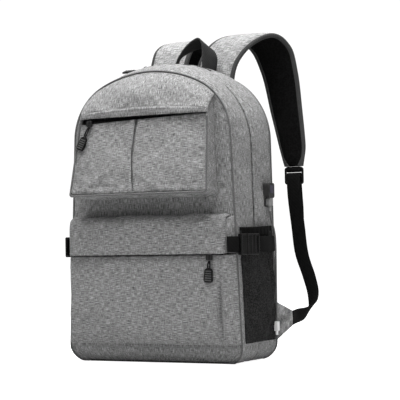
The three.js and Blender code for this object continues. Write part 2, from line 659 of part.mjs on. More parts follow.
// ---- shoulder straps, handle and back pads ---------------------------------------------------
// Each padded strap rises from the top of the back, turns over at its ridge and comes down behind the bag.
const SHOULDER_ROUTES = {
  right: [
    [[47, 73.4, 430], [35, 0, 0]], [[48, 74, 456], [35, 0, 0]], [[56, 78, 494], [35, 1, -3]],
    [[78, 88, 523], [36, 3, -3]], [[106, 108, 535], [37, 5, 0]], [[124, 134, 519], [35, 5, 0]],
    [[133, 154, 476], [31, 3, 0]], [[139, 166, 410], [28, 0, 0]], [[147, 170, 350], [23, 0, 0]],
    [[149, 170, 317.5], [16, 0, 0]],
  ],
  left: [
    [[-42, 73.4, 430], [35, 0, 0]], [[-41, 74, 456], [35, 0, 0]], [[-38, 78, 494], [35, 1, 3]],
    [[-32, 88, 521], [36, 3, 2]], [[-25, 108, 531], [37, 0, 0]], [[-33, 136, 515], [35, 0, 0]],
    [[-52, 156, 474], [32, 0, 0]], [[-84, 168, 406], [28, 0, 0]], [[-104, 170, 350], [23, 0, 0]],
    [[-110, 170, 317.5], [16, 0, 0]],
  ],
};
const TAB = { length: 34, low: 30, high: 92, tipLow: 52, tipHigh: 76, thick: 3 };
const TAB_ROOT = { x: 156, y: 67.6, angle: THREE.MathUtils.degToRad(25) };

function buildStrapTab(name, side) {
  const shape = new THREE.Shape();
  shape.moveTo(0, TAB.low);
  shape.lineTo(TAB.length, TAB.tipLow);
  shape.lineTo(TAB.length, TAB.tipHigh);
  shape.lineTo(0, TAB.high);
  const turn = Math.PI / 2 - TAB_ROOT.angle * side;
  const tab = add(backpack, `strap_tab_${name}`, plate(shape, -TAB.thick / 2, TAB.thick), GREY_FABRIC);
  tab.position.set(side * TAB_ROOT.x, TAB_ROOT.y, 0);
  tab.rotation.z = turn;
}

function buildShoulderStrap(name, side) {
  const stations = SHOULDER_ROUTES[name];
  add(backpack, `shoulder_strap_${name}`, ribbon(stations, STRAP.thick, 36), GREY_FABRIC);

  const a = ADJUSTER;
  const [end] = stations[stations.length - 1];
  const centre = new THREE.Vector3(end[0], end[1], end[2] - a.height / 2 - 1.5);
  const frame = roundedRectangle(a.width, a.height, 4);
  for (const [low, high] of [[2.5, 11], [-11, -1]]) {
    const hole = new THREE.Path();
    hole.moveTo(-a.slotHalf, low);
    hole.lineTo(a.slotHalf, low);
    hole.lineTo(a.slotHalf, high);
    hole.lineTo(-a.slotHalf, high);
    frame.holes.push(hole);
  }
  const lockPlate = plate(frame, -a.thick / 2, a.thick, 3).translate(centre.x, centre.y, centre.z);
  add(backpack, `strap_adjuster_${name}`, lockPlate, BUCKLE_PLASTIC);

  const half = [WEB.width / 2, 0, 0];
  const at = (y, z) => [[centre.x, centre.y + y, centre.z + z], half];
  const loop = [
    at(-a.bend, 15.4), at(-a.bend, 11.5), at(-2.2, 9.2), at(0, 8.4),
    at(2.2, 9.2), at(a.bend, 11.5), at(a.bend, 15.4),
  ];
  add(backpack, `adjuster_loop_${name}`, ribbon(loop, WEB.thick, 14), WEBBING);

  // The webbing runs from the tab up through the adjuster, over its middle bar, and its tail hangs down.
  const tipX = TAB_ROOT.x + (TAB.length + 0.8) * Math.sin(TAB_ROOT.angle);
  const tipY = TAB_ROOT.y + (TAB.length + 0.8) * Math.cos(TAB_ROOT.angle);
  const low = [
    [[side * tipX, tipY, 64], [0, 0, 12]], [[side * 168, 126, 66], [side * 1, 0, 12]],
    [[side * 174, 150, 70], [side * 5, -4, 10.5]], [[side * 177, 172, 82], [side * 9.5, -4.5, 7]],
    [[side * 174, 183, 102], [side * 11.5, -3, 3]], [[side * 166, 186, 130], [side * 12.3, -1, 1]],
  ];
  const toward = (share, y, z) => [
    [THREE.MathUtils.lerp(side * 158, centre.x, share), y, z], [side * WEB.width / 2, 0, 0],
  ];
  const rise = [toward(0.4, 184, 168), toward(0.75, 177, 217), toward(0.95, centre.y - 1, 262)];
  const flip = ([point, w]) => [point, [side * w[0], 0, 0]];
  const turn = [
    at(-a.bend, -14), at(-a.bend, -2), at(-2.4, 3), at(0, 4.4), at(2.4, 3), at(a.bend, -2), at(a.bend, -14),
  ].map(flip);
  const tail = [at(5.5, -32), at(8.5, -52), at(9.5, -72)].map(flip);
  const whole = [...low, ...rise, ...turn, ...tail];
  add(backpack, `strap_webbing_${name}`, ribbon(whole, WEB.thick, 76), WEBBING);
}

function buildHandle() {
  const y = (HANDLE.front + HANDLE.back) / 2;
  const halfDepth = (HANDLE.back - HANDLE.front) / 2;
  const route = [
    [-4, 485.8, 0], [2, 499, 0], [16, 513, 3], [34, 522, 5], [47, 523, 6], [55, 515, 5], [58, 502, 3],
    [58, 489, 0], [57, 476, 0],
  ];
  const stations = route.map(([x, z, droop]) => [[x, y, z - droop / 2], [0, halfDepth, -droop]]);
  add(backpack, 'grab_handle', ribbon(stations, HANDLE.thick, 28), WEBBING);

  // A patch sewn over the top of the bag, which the handle's ends are stitched to.
  const patch = (lift) => (i, j) => {
    const depth = THREE.MathUtils.lerp(HANDLE.front, HANDLE.back, j / 3);
    const s = outlineSizes(depth);
    const x = THREE.MathUtils.lerp(-18, 70, i / 8);
    const z = s.topCentre + Math.sqrt((s.topRadius + 0.6 + lift) ** 2 - x * x);
    return new THREE.Vector3(x, depth, z);
  };
  add(backpack, 'handle_patch', slab(8, 3, patch(1.5), patch(0)), DARK_TRIM);

  const back = BODY.back + GAP;
  add(backpack, 'strap_yoke', block([-86, back, 419], [86, back + 2, 443]), DARK_TRIM);
  for (const [name, side] of SIDES) {
    const pad = plate(roundedRectangle(92, 300, 18), back, 9, 4);
    add(backpack, `back_pad_${name}`, pad.translate(side * 56, 0, 262), NET);
  }
  add(backpack, 'lumbar_pad', plate(roundedRectangle(204, 78, 18), back, 11, 4).translate(0, 0, 64), NET);
}

buildWalls();
buildUpperPocket();
buildLowerPocket();
for (const [name, side] of SIDES) {
  buildSidePocket(name, side);
  buildSideStrap(name, side);
}
buildSliders();
buildPort();
buildLead();
buildInside();
for (const [name, side] of SIDES) {
  buildStrapTab(name, side);
  buildShoulderStrap(name, side);
}
buildHandle();

export default backpack;
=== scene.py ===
"""Looks of the laptop backpack: soft cloth, webbing, zips, buckles, charging lead, lights and camera."""

import math

import bmesh
import bpy
import numpy as np
from mathutils import Matrix, Vector, noise


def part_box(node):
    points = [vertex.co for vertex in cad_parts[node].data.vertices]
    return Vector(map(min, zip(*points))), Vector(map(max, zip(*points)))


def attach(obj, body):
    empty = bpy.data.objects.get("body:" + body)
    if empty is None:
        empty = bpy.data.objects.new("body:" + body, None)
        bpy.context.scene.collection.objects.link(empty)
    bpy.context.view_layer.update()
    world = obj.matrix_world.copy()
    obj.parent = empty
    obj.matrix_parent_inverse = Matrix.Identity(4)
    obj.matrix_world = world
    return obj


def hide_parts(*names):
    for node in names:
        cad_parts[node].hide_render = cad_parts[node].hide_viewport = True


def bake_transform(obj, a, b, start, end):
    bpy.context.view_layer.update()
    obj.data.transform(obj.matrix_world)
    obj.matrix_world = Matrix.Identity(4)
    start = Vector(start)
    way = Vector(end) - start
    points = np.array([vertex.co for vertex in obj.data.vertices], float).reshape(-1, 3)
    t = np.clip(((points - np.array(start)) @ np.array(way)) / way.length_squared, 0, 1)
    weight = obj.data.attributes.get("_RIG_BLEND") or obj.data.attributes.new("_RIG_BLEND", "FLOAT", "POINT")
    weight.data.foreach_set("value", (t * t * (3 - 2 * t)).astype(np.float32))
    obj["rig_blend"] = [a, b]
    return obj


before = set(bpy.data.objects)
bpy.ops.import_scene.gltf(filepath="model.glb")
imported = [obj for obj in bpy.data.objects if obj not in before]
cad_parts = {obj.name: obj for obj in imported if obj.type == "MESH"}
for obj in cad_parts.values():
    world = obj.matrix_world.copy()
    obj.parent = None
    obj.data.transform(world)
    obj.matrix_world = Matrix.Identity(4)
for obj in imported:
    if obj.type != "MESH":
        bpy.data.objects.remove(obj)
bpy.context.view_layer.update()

MM = 0.001
TO_METRES = Matrix.Diagonal((MM, MM, MM, 1))
INSIDE = np.array([0.0, 0.0, 240.0])     # a point inside the bag, which tells a sheet's outer side

# ---- driving sizes, in millimetres, as the CAD part has them -------------------------------------
FRONT, BACK, CORNER = -64.0, 64.0, 28.0
# The outline of the bag at its front, middle and back.
OUTLINE = {
    "half_base": (155, 155, 157),
    "half_shoulder": (141, 148, 152),
    "height": (466, 482, 478),
    "top_radius": (200, 158, 200),
    "top_angle": (26, 38, 26),
}
ZIP_END = 200.0
# The front pockets; edge and edge_low are the depths of the face's sides at its top and bottom.
UPPER = {
    "bottom": 270, "top": 382, "lip": 393, "half": 121, "half_top": 114,
    "edge": 90, "edge_low": 112, "crown": 5,
}
LOWER = {"bottom": 30, "top": 162, "half": 139, "edge": 86, "edge_low": 86, "crown": 5}
# Where the upper pocket's pleat runs: share of the face's height, and distance from the middle.
PLEAT = ([0, 0.2, 0.55, 1], [-3, -8, -12, -9])
POCKET = {"bottom": 34, "top": 214, "front": -50, "back": 56, "bulge": 13}
STRAP_LEVEL = 187.0
SIDE_STRAP = {"x": 150, "y": -85, "angle": math.radians(20)}
PORT = {"y": 42, "level": 266}
WEB_HALF, WEB_THICK = 12.5, 1.6
NET_FOLD = 26.0     # depth at which the side nets are folded from top to bottom
HANDLE_FRONT, HANDLE_BACK = 18.0, 58.0


# ---- materials -----------------------------------------------------------------------------------
class Shader:
    """A material whose nodes are added one by one; inputs that are sockets are linked."""

    def __init__(self, name, roughness, **constants):
        self.material = bpy.data.materials.new(name)
        self.material.use_nodes = True
        self.tree = self.material.node_tree
        self.surface = self.tree.nodes["Principled BSDF"]
        self.surface.inputs["Roughness"].default_value = roughness
        for socket, value in constants.items():
            self.surface.inputs[socket.replace("_", " ")].default_value = value

    def add(self, kind, output=0, props=None, **inputs):
        """A new node's output; an input is given by its name, or by its number as i0, i1 and so on."""
        node = self.tree.nodes.new(f"ShaderNode{kind}")
        for key, value in (props or {}).items():
            setattr(node, key, value)
        for key, value in inputs.items():
            socket = node.inputs[int(key[1:]) if key[1:].isdigit() else key.replace("_", " ")]
            if isinstance(value, bpy.types.NodeSocket):
                self.tree.links.new(value, socket)
            else:
                socket.default_value = value
        return node.outputs[output]

    def coordinates(self, which, scale):
        source = self.add("TexCoord", which)
        return self.add("Mapping", Vector=source, Scale=scale)

    def math(self, operation, a, b=0.0):
        return self.add("Math", props={"operation": operation}, i0=a, i1=b)

    def mix(self, *parts):
        """The sum of (value, share) pairs."""
        total = self.math("MULTIPLY", *parts[0])
        for part in parts[1:]:
            total = self.math("ADD", total, self.math("MULTIPLY", *part))
        return total

    def noise(self, coordinates, detail=2.0, rough=0.5):
        return self.add("TexNoise", Vector=coordinates, Scale=1.0, Detail=detail, Roughness=rough)

    def bands(self, direction, coordinates, scale, **settings):
        props = {"wave_type": "BANDS", "bands_direction": direction}
        return self.add("TexWave", 1, props=props, Vector=coordinates, Scale=scale, **settings)

    def ramp(self, factor, stops):
        """Colours for a factor, from stops of (position, grey level or colour)."""
        node = self.tree.nodes.new("ShaderNodeValToRGB")
        self.tree.links.new(factor, node.inputs[0])
        elements = node.color_ramp.elements
        while len(elements) < len(stops):
            elements.new(0.5)
        for element, (position, level) in zip(elements, stops):
            element.position = position
            colour = level if isinstance(level, tuple) else (level,) * 3
            element.color = (*colour, 1)
        return node.outputs[0]

    def colour(self, value):
        self.tree.links.new(value, self.surface.inputs["Base Color"])

    def bump(self, height, strength, distance):
        normal = self.add("Bump", Height=height, Strength=strength, Distance=distance)
        self.tree.links.new(normal, self.surface.inputs["Normal"])


UV, OBJECT = "UV", "Object"
FINE_YARN, THICK_YARN = (1500, 110), (100, 1150)     # streaks per metre across and along the cloth
CLOUDS, FLECKS = (26, 26, 26), (900, 900, 900)       # patches of tone and single specks per metre


def melange(name, dark, light, where=UV, turned=False):
    """Two-tone yarn in a plain weave: streaks of thick yarn one way and of fine yarn the other."""
    s = Shader(name, 0.92, Sheen_Weight=0.12, Sheen_Roughness=0.5, Specular_IOR_Level=0.2)
    deep = 1 if where == UV else 0.6
    fine, thick = FINE_YARN, THICK_YARN
    if turned:
        fine, thick = fine[::-1], thick[::-1]
    warp = s.noise(s.coordinates(where, (*fine, fine[0] * deep)), detail=2.0, rough=0.6)
    weft = s.noise(s.coordinates(where, (*thick, thick[0] * deep)), detail=2.5, rough=0.6)
    cloud = s.noise(s.coordinates(where, CLOUDS), detail=3)
    fleck = s.noise(s.coordinates(where, FLECKS), detail=1)
    yarn = s.mix((warp, 0.34), (weft, 0.54), (fleck, 0.10), (cloud, 0.02))
    s.colour(s.ramp(yarn, [(0.4, dark), (0.5, (dark + light) * 0.42), (0.6, light)]))
    threads = [s.bands(axis, s.coordinates(where, (1, 1, 1)), 420.0, Distortion=0.6) for axis in ("X", "Y")]
    weave = s.mix((threads[0], 0.5), (threads[1], 0.5))
    s.bump(s.math("ADD", weave, s.math("MULTIPLY", yarn, 2.0)), 0.5, 0.0005)
    return s.material


def woven_tape(name, dark, light, pitch=2.2, roughness=0.85):
    """Webbing: ribs across the tape with a twill slant."""
    s = Shader(name, roughness, Specular_IOR_Level=0.08)
    scale = 2 * math.pi / (pitch * MM) / 20     # at scale 1 a wave texture repeats every 2 pi / 20
    ribs = s.bands("Y", s.coordinates(UV, (1, 1, 1)), scale, Distortion=0.4)
    slant = s.bands("DIAGONAL", s.coordinates(UV, (1, 1, 0)), scale * 0.7, Distortion=1.2, Detail=1.0)
    weave = s.mix((ribs, 0.6), (slant, 0.4))
    dust = s.noise(s.coordinates(OBJECT, (90, 90, 90)), detail=4)
    s.colour(s.ramp(s.mix((weave, 0.6), (dust, 0.4)), [(0.2, dark), (0.8, light)]))
    s.bump(weave, 0.5, 0.0005)
    return s.material


def netting(name, dark, light, cell=2.4):
    """Knitted spacer net: rounded holes between raised cords."""
    s = Shader(name, 0.9, Specular_IOR_Level=0.06)
    holes = s.add("TexVoronoi", 0, props={"feature": "F1"}, Vector=s.coordinates(OBJECT, (1, 1, 1)),
                  Scale=1 / (cell * MM), Randomness=0.85)
    shade = s.noise(s.coordinates(OBJECT, (25, 25, 25)), detail=3)
    s.colour(s.ramp(s.mix((holes, 0.7), (shade, 0.3)), [(0.25, dark), (0.7, light)]))
    s.bump(holes, 0.6, 0.0006)
    return s.material


def moulded(name, dark, light, roughness, grain=900.0, strength=0.12, **constants):
    """Moulded plastic, rubber or coated metal with a fine grain and rubbed tone changes."""
    s = Shader(name, roughness, **constants)
    tone = s.noise(s.coordinates(OBJECT, (60, 60, 60)), detail=4)
    s.colour(s.ramp(tone, [(0.3, dark), (0.7, light)]))
    s.bump(s.noise(s.coordinates(OBJECT, (grain, grain, grain)), detail=2), strength, 0.0002)
    return s.material


MELANGE = melange("grey_melange", 0.07, 0.43)
MELANGE_UPRIGHT = melange("grey_melange_upright", 0.07, 0.45, turned=True)
MELANGE_STRAP = melange("grey_melange_strap", 0.09, 0.56)
# Cording cloth darker than the walls' melange: painted shade for the dark gap line beside the corded seams.
MELANGE_SEAM_SHADE = melange("grey_melange_seam_shade", 0.03, 0.24)
MELANGE_RAW = melange("grey_melange_box", 0.07, 0.50, OBJECT)
BINDING = woven_tape("dark_binding", 0.034, 0.068, 1.2, 0.85)
DARK_CLOTH = melange("dark_cloth", 0.03, 0.06, OBJECT)
HANDLE_CLOTH = woven_tape("handle_cloth", 0.02, 0.05, 1.6, 0.8)
WEBBING = woven_tape("black_webbing", 0.003, 0.009)
NET = netting("side_net", 0.004, 0.034)
PAD_NET = netting("pad_net", 0.001, 0.006, 3.2)
LINING = melange("lining", 0.04, 0.07, OBJECT)
COIL = moulded("zip_coil", 0.006, 0.014, 0.45)
TAPE = woven_tape("zip_tape", 0.006, 0.014, 1.0)
THREAD_DARK = moulded("seam_thread", 0.09, 0.16, 0.8)
THREAD_GREY = moulded("grey_thread", 0.16, 0.26, 0.7)
SLIDER = moulded("painted_slider", 0.004, 0.012, 0.36, Specular_IOR_Level=0.35)
BUCKLE = moulded("buckle_plastic", 0.003, 0.009, 0.36, Specular_IOR_Level=0.28)
PULL = moulded("pull_rubber", 0.002, 0.006, 0.6, Specular_IOR_Level=0.15)
PULL_RIB = moulded("pull_rib", 0.045, 0.08, 0.5, Specular_IOR_Level=0.25)
RUBBER = moulded("port_rubber", 0.012, 0.028, 0.6)
PORT_FACE = moulded("port_face", (0.03, 0.026, 0.045), (0.05, 0.045, 0.07), 0.5)
STEEL = moulded("plated_steel", 0.5, 0.62, 0.28, 300.0, 0.05, Metallic=1.0)
PLUG = moulded("plug_grip", 0.24, 0.33, 0.5)
LEAD = moulded("lead_jacket", 0.07, 0.12, 0.55, 2000.0, 0.1)
WHITE = moulded("white_plastic", 0.74, 0.82, 0.35)
BANK = moulded("bank_casing", 0.04, 0.06, 0.4)

NODE_MATERIALS = {
    "laptop_sleeve": LINING, "power_bank_pouch": LINING, "power_bank": BANK, "sleeve_strap": WEBBING,
    "inner_plug": PLUG, "inner_lead": LEAD, "usb_socket": STEEL,
}
for node_name, chosen in NODE_MATERIALS.items():
    node_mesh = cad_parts[node_name].data
    node_mesh.materials.clear()
    node_mesh.materials.append(chosen)


# ---- meshes --------------------------------------------------------------------------------------
def link(name, mesh, materials):
    """A smooth-shaded object in the scene."""
    obj = bpy.data.objects.new(name, mesh)
    bpy.context.scene.collection.objects.link(obj)
    for material in materials if isinstance(materials, (list, tuple)) else [materials]:
        mesh.materials.append(material)
    mesh.polygons.foreach_set("use_smooth", [True] * len(mesh.polygons))
    return obj


def place(obj, body, slot_name, *nodes):
    """Ties a piece to its body and hides the CAD nodes that it stands for; slot_name is not used."""
    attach(obj, body)
    if nodes:
        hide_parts(*nodes)
    return obj


def normals_of(points):
    """Unit normals of a grid of points, towards the outside of the bag."""
    n = np.cross(np.gradient(points, axis=0), np.gradient(points, axis=1))
    n /= np.maximum(np.linalg.norm(n, axis=2, keepdims=True), 1e-9)
    outward = np.sum(n * (points - INSIDE)) > 0
    return n if outward else -n


def rumple(points, amount, scale, seed, stretch=(1, 1, 1), fade=None):
    """Moves a grid of points in and out along its normals, for the unevenness of soft cloth."""
    shift = Vector((seed * 17.3, seed * 9.1, seed * 5.7))
    field = np.array([noise.noise(Vector((x * stretch[0], y * stretch[1], z * stretch[2])) / scale + shift)
                      for x, y, z in points.reshape(-1, 3)])
    field = field.reshape(points.shape[:2])
    if fade is not None:
        field = field * fade
    return points + normals_of(points) * (amount * field)[..., None]


def edge_fade(rows, cols, width=0.12):
    """1 in the middle of a grid and 0 along its edges."""
    def ramp(count):
        share = np.linspace(0, 1, count)
        return np.clip(np.minimum(share, 1 - share) / width, 0, 1)
    return np.outer(ramp(rows), ramp(cols))


def grid_mesh(name, points, inside=None):
    """A mesh of quads from a grid of points in millimetres, facing away from inside, with UVs in metres."""
    rows, cols = points.shape[:2]
    n = np.cross(np.gradient(points, axis=0), np.gradient(points, axis=1))
    centre = INSIDE if inside is None else np.array(inside)
    flip = np.sum(n * (points - centre)) < 0
    index = np.arange(rows * cols).reshape(rows, cols)
    quads = np.stack([index[:-1, :-1], index[1:, :-1], index[1:, 1:], index[:-1, 1:]], axis=-1).reshape(-1, 4)
    if flip:
        quads = quads[:, ::-1]
    mesh = bpy.data.meshes.new(name)
    mesh.from_pydata((points.reshape(-1, 3) * MM).tolist(), [], quads.tolist())
    along = np.linalg.norm(np.diff(points, axis=0), axis=2).max(axis=1)
    across = np.linalg.norm(np.diff(points, axis=1), axis=2).max(axis=0)
    v = np.concatenate([[0], np.cumsum(along)]) * MM
    u = np.concatenate([[0], np.cumsum(across)]) * MM
    uv = np.stack(np.meshgrid(u, v), axis=-1).reshape(-1, 2)
    layer = mesh.uv_layers.new(name="UVMap")
    loops = np.zeros(len(mesh.loops), int)
    mesh.loops.foreach_get("vertex_index", loops)
    layer.data.foreach_set("uv", uv[loops].ravel())
    return mesh


def behind(pocket, clearance=0.2):
    """Keeps a pocket's cloth behind the plane in which its slider and pull move."""
    def limit(points):
        out = points.copy()
        x = np.clip(points[..., 0], -pocket["half"], pocket["half"])
        out[..., 1] = np.maximum(points[..., 1], face_y(pocket, x, points[..., 2]) - clearance)
        return out
    return limit


def edge_pins(rows, cols, last=1):
    """Marks the points of a sheet that are sewn down: its sides, its first row and its last rows."""
    pins = np.zeros((rows, cols), bool)
    pins[0, :] = True
    pins[rows - last:, :] = True
    pins[:, [0, -1]] = True
    return pins


def simulate(obj, rest, held, cap, frames, settings):
    """Where a cloth simulation takes an object's points, in metres, none further than cap millimetres."""
    group = obj.vertex_groups.new(name="held")
    group.add([int(i) for i in held], 1.0, "REPLACE")
    modifier = obj.modifiers.new("Cloth", "CLOTH")
    cloth = modifier.settings
    cloth.vertex_group_mass = group.name
    cloth.quality = 4
    cloth.effector_weights.gravity = 0
    for key, value in settings.items():
        setattr(cloth, key, value)
    modifier.collision_settings.use_collision = False
    modifier.point_cache.frame_end = frames
    scene = bpy.context.scene
    for step in range(1, frames + 1):
        scene.frame_set(step)
    evaluated = obj.evaluated_get(bpy.context.evaluated_depsgraph_get())
    moved = np.zeros(len(rest) * 3)
    evaluated.data.vertices.foreach_get("co", moved)
    move = moved.reshape(-1, 3) - rest
    move *= np.minimum(1, cap * MM / np.maximum(np.linalg.norm(move, axis=1, keepdims=True), 1e-9))
    obj.modifiers.remove(modifier)
    obj.vertex_groups.remove(group)
    scene.frame_set(1)
    return rest + move


def settle(obj, points, growth, pressure, cap, frames=14, pins=None):
    """Lets a sewn sheet with a little spare cloth buckle; pins marks the points that are held."""
    rows, cols = points.shape[:2]
    if pins is None:
        pins = edge_pins(rows, cols)
    moved = simulate(obj, points.reshape(-1, 3) * MM, np.flatnonzero(pins.ravel()), cap, frames, {
        "mass": 0.25, "shrink_min": -growth, "shrink_max": -growth, "tension_stiffness": 12,
        "compression_stiffness": 12, "bending_stiffness": 0.4, "air_damping": 4,
        "use_pressure": pressure != 0, "uniform_pressure_force": pressure,
    })
    obj.data.vertices.foreach_set("co", moved.ravel())
    obj.data.update()
    return moved.reshape(rows, cols, 3) / MM


def thicken(obj, thickness):
    """Gives a sheet its thickness, inwards from its outer face."""
    modifier = obj.modifiers.new("Solidify", "SOLIDIFY")
    modifier.thickness = thickness * MM
    modifier.offset = -1.0


def cloth_sheet(name, points, material, slot_name, nodes=(), thickness=2.0, sim=None, pins=None, inside=None,
                limit=None):
    """A sewn sheet of cloth; limit keeps its points clear of what lies on it. Returns its points."""
    obj = link(name, grid_mesh(name, points, inside), material)
    if sim:
        points = settle(obj, points, pins=pins, **sim)
    if limit:
        points = limit(points)
        obj.data.vertices.foreach_set("co", (points * MM).ravel())
        obj.data.update()
    thicken(obj, thickness)
    place(obj, "bag", slot_name, *nodes)
    return points


def curve_through(points, count):
    """Points along a centripetal Catmull-Rom curve through the given ones."""
    p = np.array(points, float)
    p = np.vstack([2 * p[0] - p[1], p, 2 * p[-1] - p[-2]])
    out = []
    spans = len(p) - 3
    for k in np.linspace(0, spans, count):
        i = min(int(k), spans - 1)
        q = p[i:i + 4]
        steps = [max(np.linalg.norm(q[j + 1] - q[j]) ** 0.5, 1e-4) for j in range(3)]
        knots = np.concatenate([[0], np.cumsum(steps)])
        t = knots[1] + (k - i) * (knots[2] - knots[1])

        def mix(a, b, low, high):
            return ((knots[high] - t) * a + (t - knots[low]) * b) / (knots[high] - knots[low])

        first = [mix(q[j], q[j + 1], j, j + 1) for j in range(3)]
        second = [mix(first[j], first[j + 1], j, j + 2) for j in range(2)]
        out.append(mix(second[0], second[1], 1, 2))
    return np.array(out)


def resample(path, step):
    """The path's points at equal steps."""
    path = np.asarray(path, float)
    lengths = np.linalg.norm(np.diff(path, axis=0), axis=1)
    total = np.concatenate([[0], np.cumsum(lengths)])
    count = max(int(round(total[-1] / step)), 1)
    stations = np.linspace(0, total[-1], count + 1)
    return np.stack([np.interp(stations, total, path[:, k]) for k in range(3)], axis=1)


def sweep(name, centres, halves, section, materials, band=None):
    """A closed skin swept along centres; section(share) gives rows of (share of the half width, height).

    band(row) tells which of the materials the faces after a row of the section take.
    """
    tangents = np.gradient(centres, axis=0)
    normals = np.cross(halves, tangents)
    normals /= np.linalg.norm(normals, axis=1, keepdims=True)
    count = len(centres)
    rings = []
    for i in range(count):
        profile = np.array(section(i / (count - 1)))
        rings.append(centres[i] + profile[:, :1] * halves[i] + profile[:, 1:2] * normals[i])
    rings = np.array(rings)
    size = rings.shape[1]
    faces = []
    for i in range(count - 1):
        for j in range(size):
            k = (j + 1) % size
            faces.append((i * size + j, i * size + k, (i + 1) * size + k, (i + 1) * size + j))
    faces.append(tuple(range(size))[::-1])
    faces.append(tuple((count - 1) * size + j for j in range(size)))
    mesh = bpy.data.meshes.new(name)
    mesh.from_pydata((rings.reshape(-1, 3) * MM).tolist(), [], faces)
    length = np.concatenate([[0], np.cumsum(np.linalg.norm(np.diff(centres, axis=0), axis=1))]) * MM
    width = np.linalg.norm(halves, axis=1).mean() * MM
    middle = np.array(section(0.5))
    layer = mesh.uv_layers.new(name="UVMap")
    for polygon in mesh.polygons:
        for loop in polygon.loop_indices:
            vertex = mesh.loops[loop].vertex_index
            layer.data[loop].uv = (middle[vertex % size][0] * width, length[vertex // size])
    obj = link(name, mesh, materials)
    if band is not None:
        for k, polygon in enumerate(mesh.polygons):
            polygon.material_index = band(k % size) if k < (count - 1) * size else 0
    bm = bmesh.new()
    bm.from_mesh(mesh)
    bmesh.ops.recalc_face_normals(bm, faces=bm.faces)
    bm.to_mesh(mesh)
    bm.free()
    return obj


def flat_section(thickness, edge):
    """The section of a tape: flat faces with rounded edges."""
    h = thickness / 2
    top = [(-1, 0), (-1 + edge / 2, h * 0.8), (-1 + edge, h), (-0.4, h), (0.0, h), (0.4, h), (1 - edge, h),
           (1 - edge / 2, h * 0.8), (1, 0)]
    low = [(a, -b) for a, b in reversed(top[1:-1])]
    return lambda share: top + low


def ribbon(name, stations, thickness, steps, material, edge=0.06):
    """A tape through stations of (centre, half width as a vector)."""
    centres = curve_through([c for c, _ in stations], steps)
    halves = curve_through([w for _, w in stations], steps)
    return sweep(name, centres, halves, flat_section(thickness, edge), material)


def tube(name, path, radius, material, body, slot_name, nodes=()):
    """A round cord along a path in millimetres, as a curve."""
    curve = bpy.data.curves.new(name, "CURVE")
    curve.dimensions = "3D"
    curve.bevel_depth = radius * MM
    curve.bevel_resolution = 3
    curve.use_fill_caps = True
    spline = curve.splines.new("POLY")
    spline.points.add(len(path) - 1)
    for point, (x, y, z) in zip(spline.points, path):
        point.co = (x * MM, y * MM, z * MM, 1)
    curve.materials.append(material)
    obj = bpy.data.objects.new(name, curve)
    bpy.context.scene.collection.objects.link(obj)
    return place(obj, body, slot_name, *nodes)


def stitches(name, path, outward, material, pitch=4.2, length=3.0, radius=0.32, slot_name="dark_trim",
             across=False):
    """A row of thread stitches along a path that lies on a surface with these outward directions."""
    path = np.asarray(path, float)
    outward = np.broadcast_to(np.asarray(outward, float), path.shape)
    lengths = np.concatenate([[0], np.cumsum(np.linalg.norm(np.diff(path, axis=0), axis=1))])
    stations = np.arange(pitch / 2, lengths[-1], pitch)

    def at(array, where):
        return np.stack([np.interp(where, lengths, array[:, k]) for k in range(3)], axis=1)

    def unit(vectors):
        return vectors / np.maximum(np.linalg.norm(vectors, axis=1, keepdims=True), 1e-9)

    centre, up = at(path, stations), unit(at(outward, stations))
    along = unit(at(path, stations + 0.5) - at(path, stations - 0.5))
    side = unit(np.cross(up, along))
    if across:
        along, side = side, along
    # Rings of one stitch: place along it, share of the thread's radius, and height.
    profile = [(-0.5, 0.35, -0.9), (-0.3, 0.9, 0.0), (0.3, 0.9, 0.0), (0.5, 0.35, -0.9)]
    lift, sides = 0.15, 6
    verts, faces = [], []
    for c, a, s, u in zip(centre, along, side, up):
        base = len(verts)
        for share, wide, drop in profile:
            for k in range(sides):
                angle = 2 * math.pi * k / sides
                verts.append(c + a * share * length + s * radius * wide * math.cos(angle)
                             + u * (lift + radius * (wide * math.sin(angle) + drop * 0.8)))
        for ring in range(len(profile) - 1):
            for k in range(sides):
                i, j = base + ring * sides + k, base + ring * sides + (k + 1) % sides
                faces.append((i, j, j + sides, i + sides))
        faces.append(tuple(base + k for k in reversed(range(sides))))
        faces.append(tuple(base + (len(profile) - 1) * sides + k for k in range(sides)))
    mesh = bpy.data.meshes.new(name)
    mesh.from_pydata((np.array(verts) * MM).tolist(), [], faces)
    return place(link(name, mesh, material), "bag", slot_name)


def stitch_rows(name, points, rows, trim):
    """Rows of stitches along a sheet of cloth, each short of the sheet's ends by trim points."""
    normals = normals_of(points)
    for number, row in enumerate(rows):
        stitches(f"{name}_{number}", points[row, trim:-trim], normals[row, trim:-trim], THREAD_DARK,
                 slot_name="grey_fabric")


def rounded_copy(node, width, material, slot_name, body="bag"):
    """The CAD node's shape with its moulding radii."""
    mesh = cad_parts[node].data.copy()
    mesh.materials.clear()
    bm = bmesh.new()
    bm.from_mesh(mesh)
    bmesh.ops.remove_doubles(bm, verts=bm.verts, dist=2e-5)
    bmesh.ops.dissolve_limit(bm, angle_limit=math.radians(3), verts=bm.verts, edges=bm.edges)
    bm.to_mesh(mesh)
    bm.free()
    for layer in list(mesh.attributes):
        if layer.name in ("custom_normal", "sharp_edge", "sharp_face"):
            mesh.attributes.remove(layer)
    obj = link(f"{node}_moulded", mesh, material)
    modifier = obj.modifiers.new("Bevel", "BEVEL")
    modifier.width = width * MM
    modifier.segments = 3
    modifier.limit_method = "ANGLE"
    modifier.angle_limit = math.radians(35)
    modifier.use_clamp_overlap = True
    obj.modifiers.new("WeightedNormal", "WEIGHTED_NORMAL").keep_sharp = True
    return place(obj, body, slot_name, node)


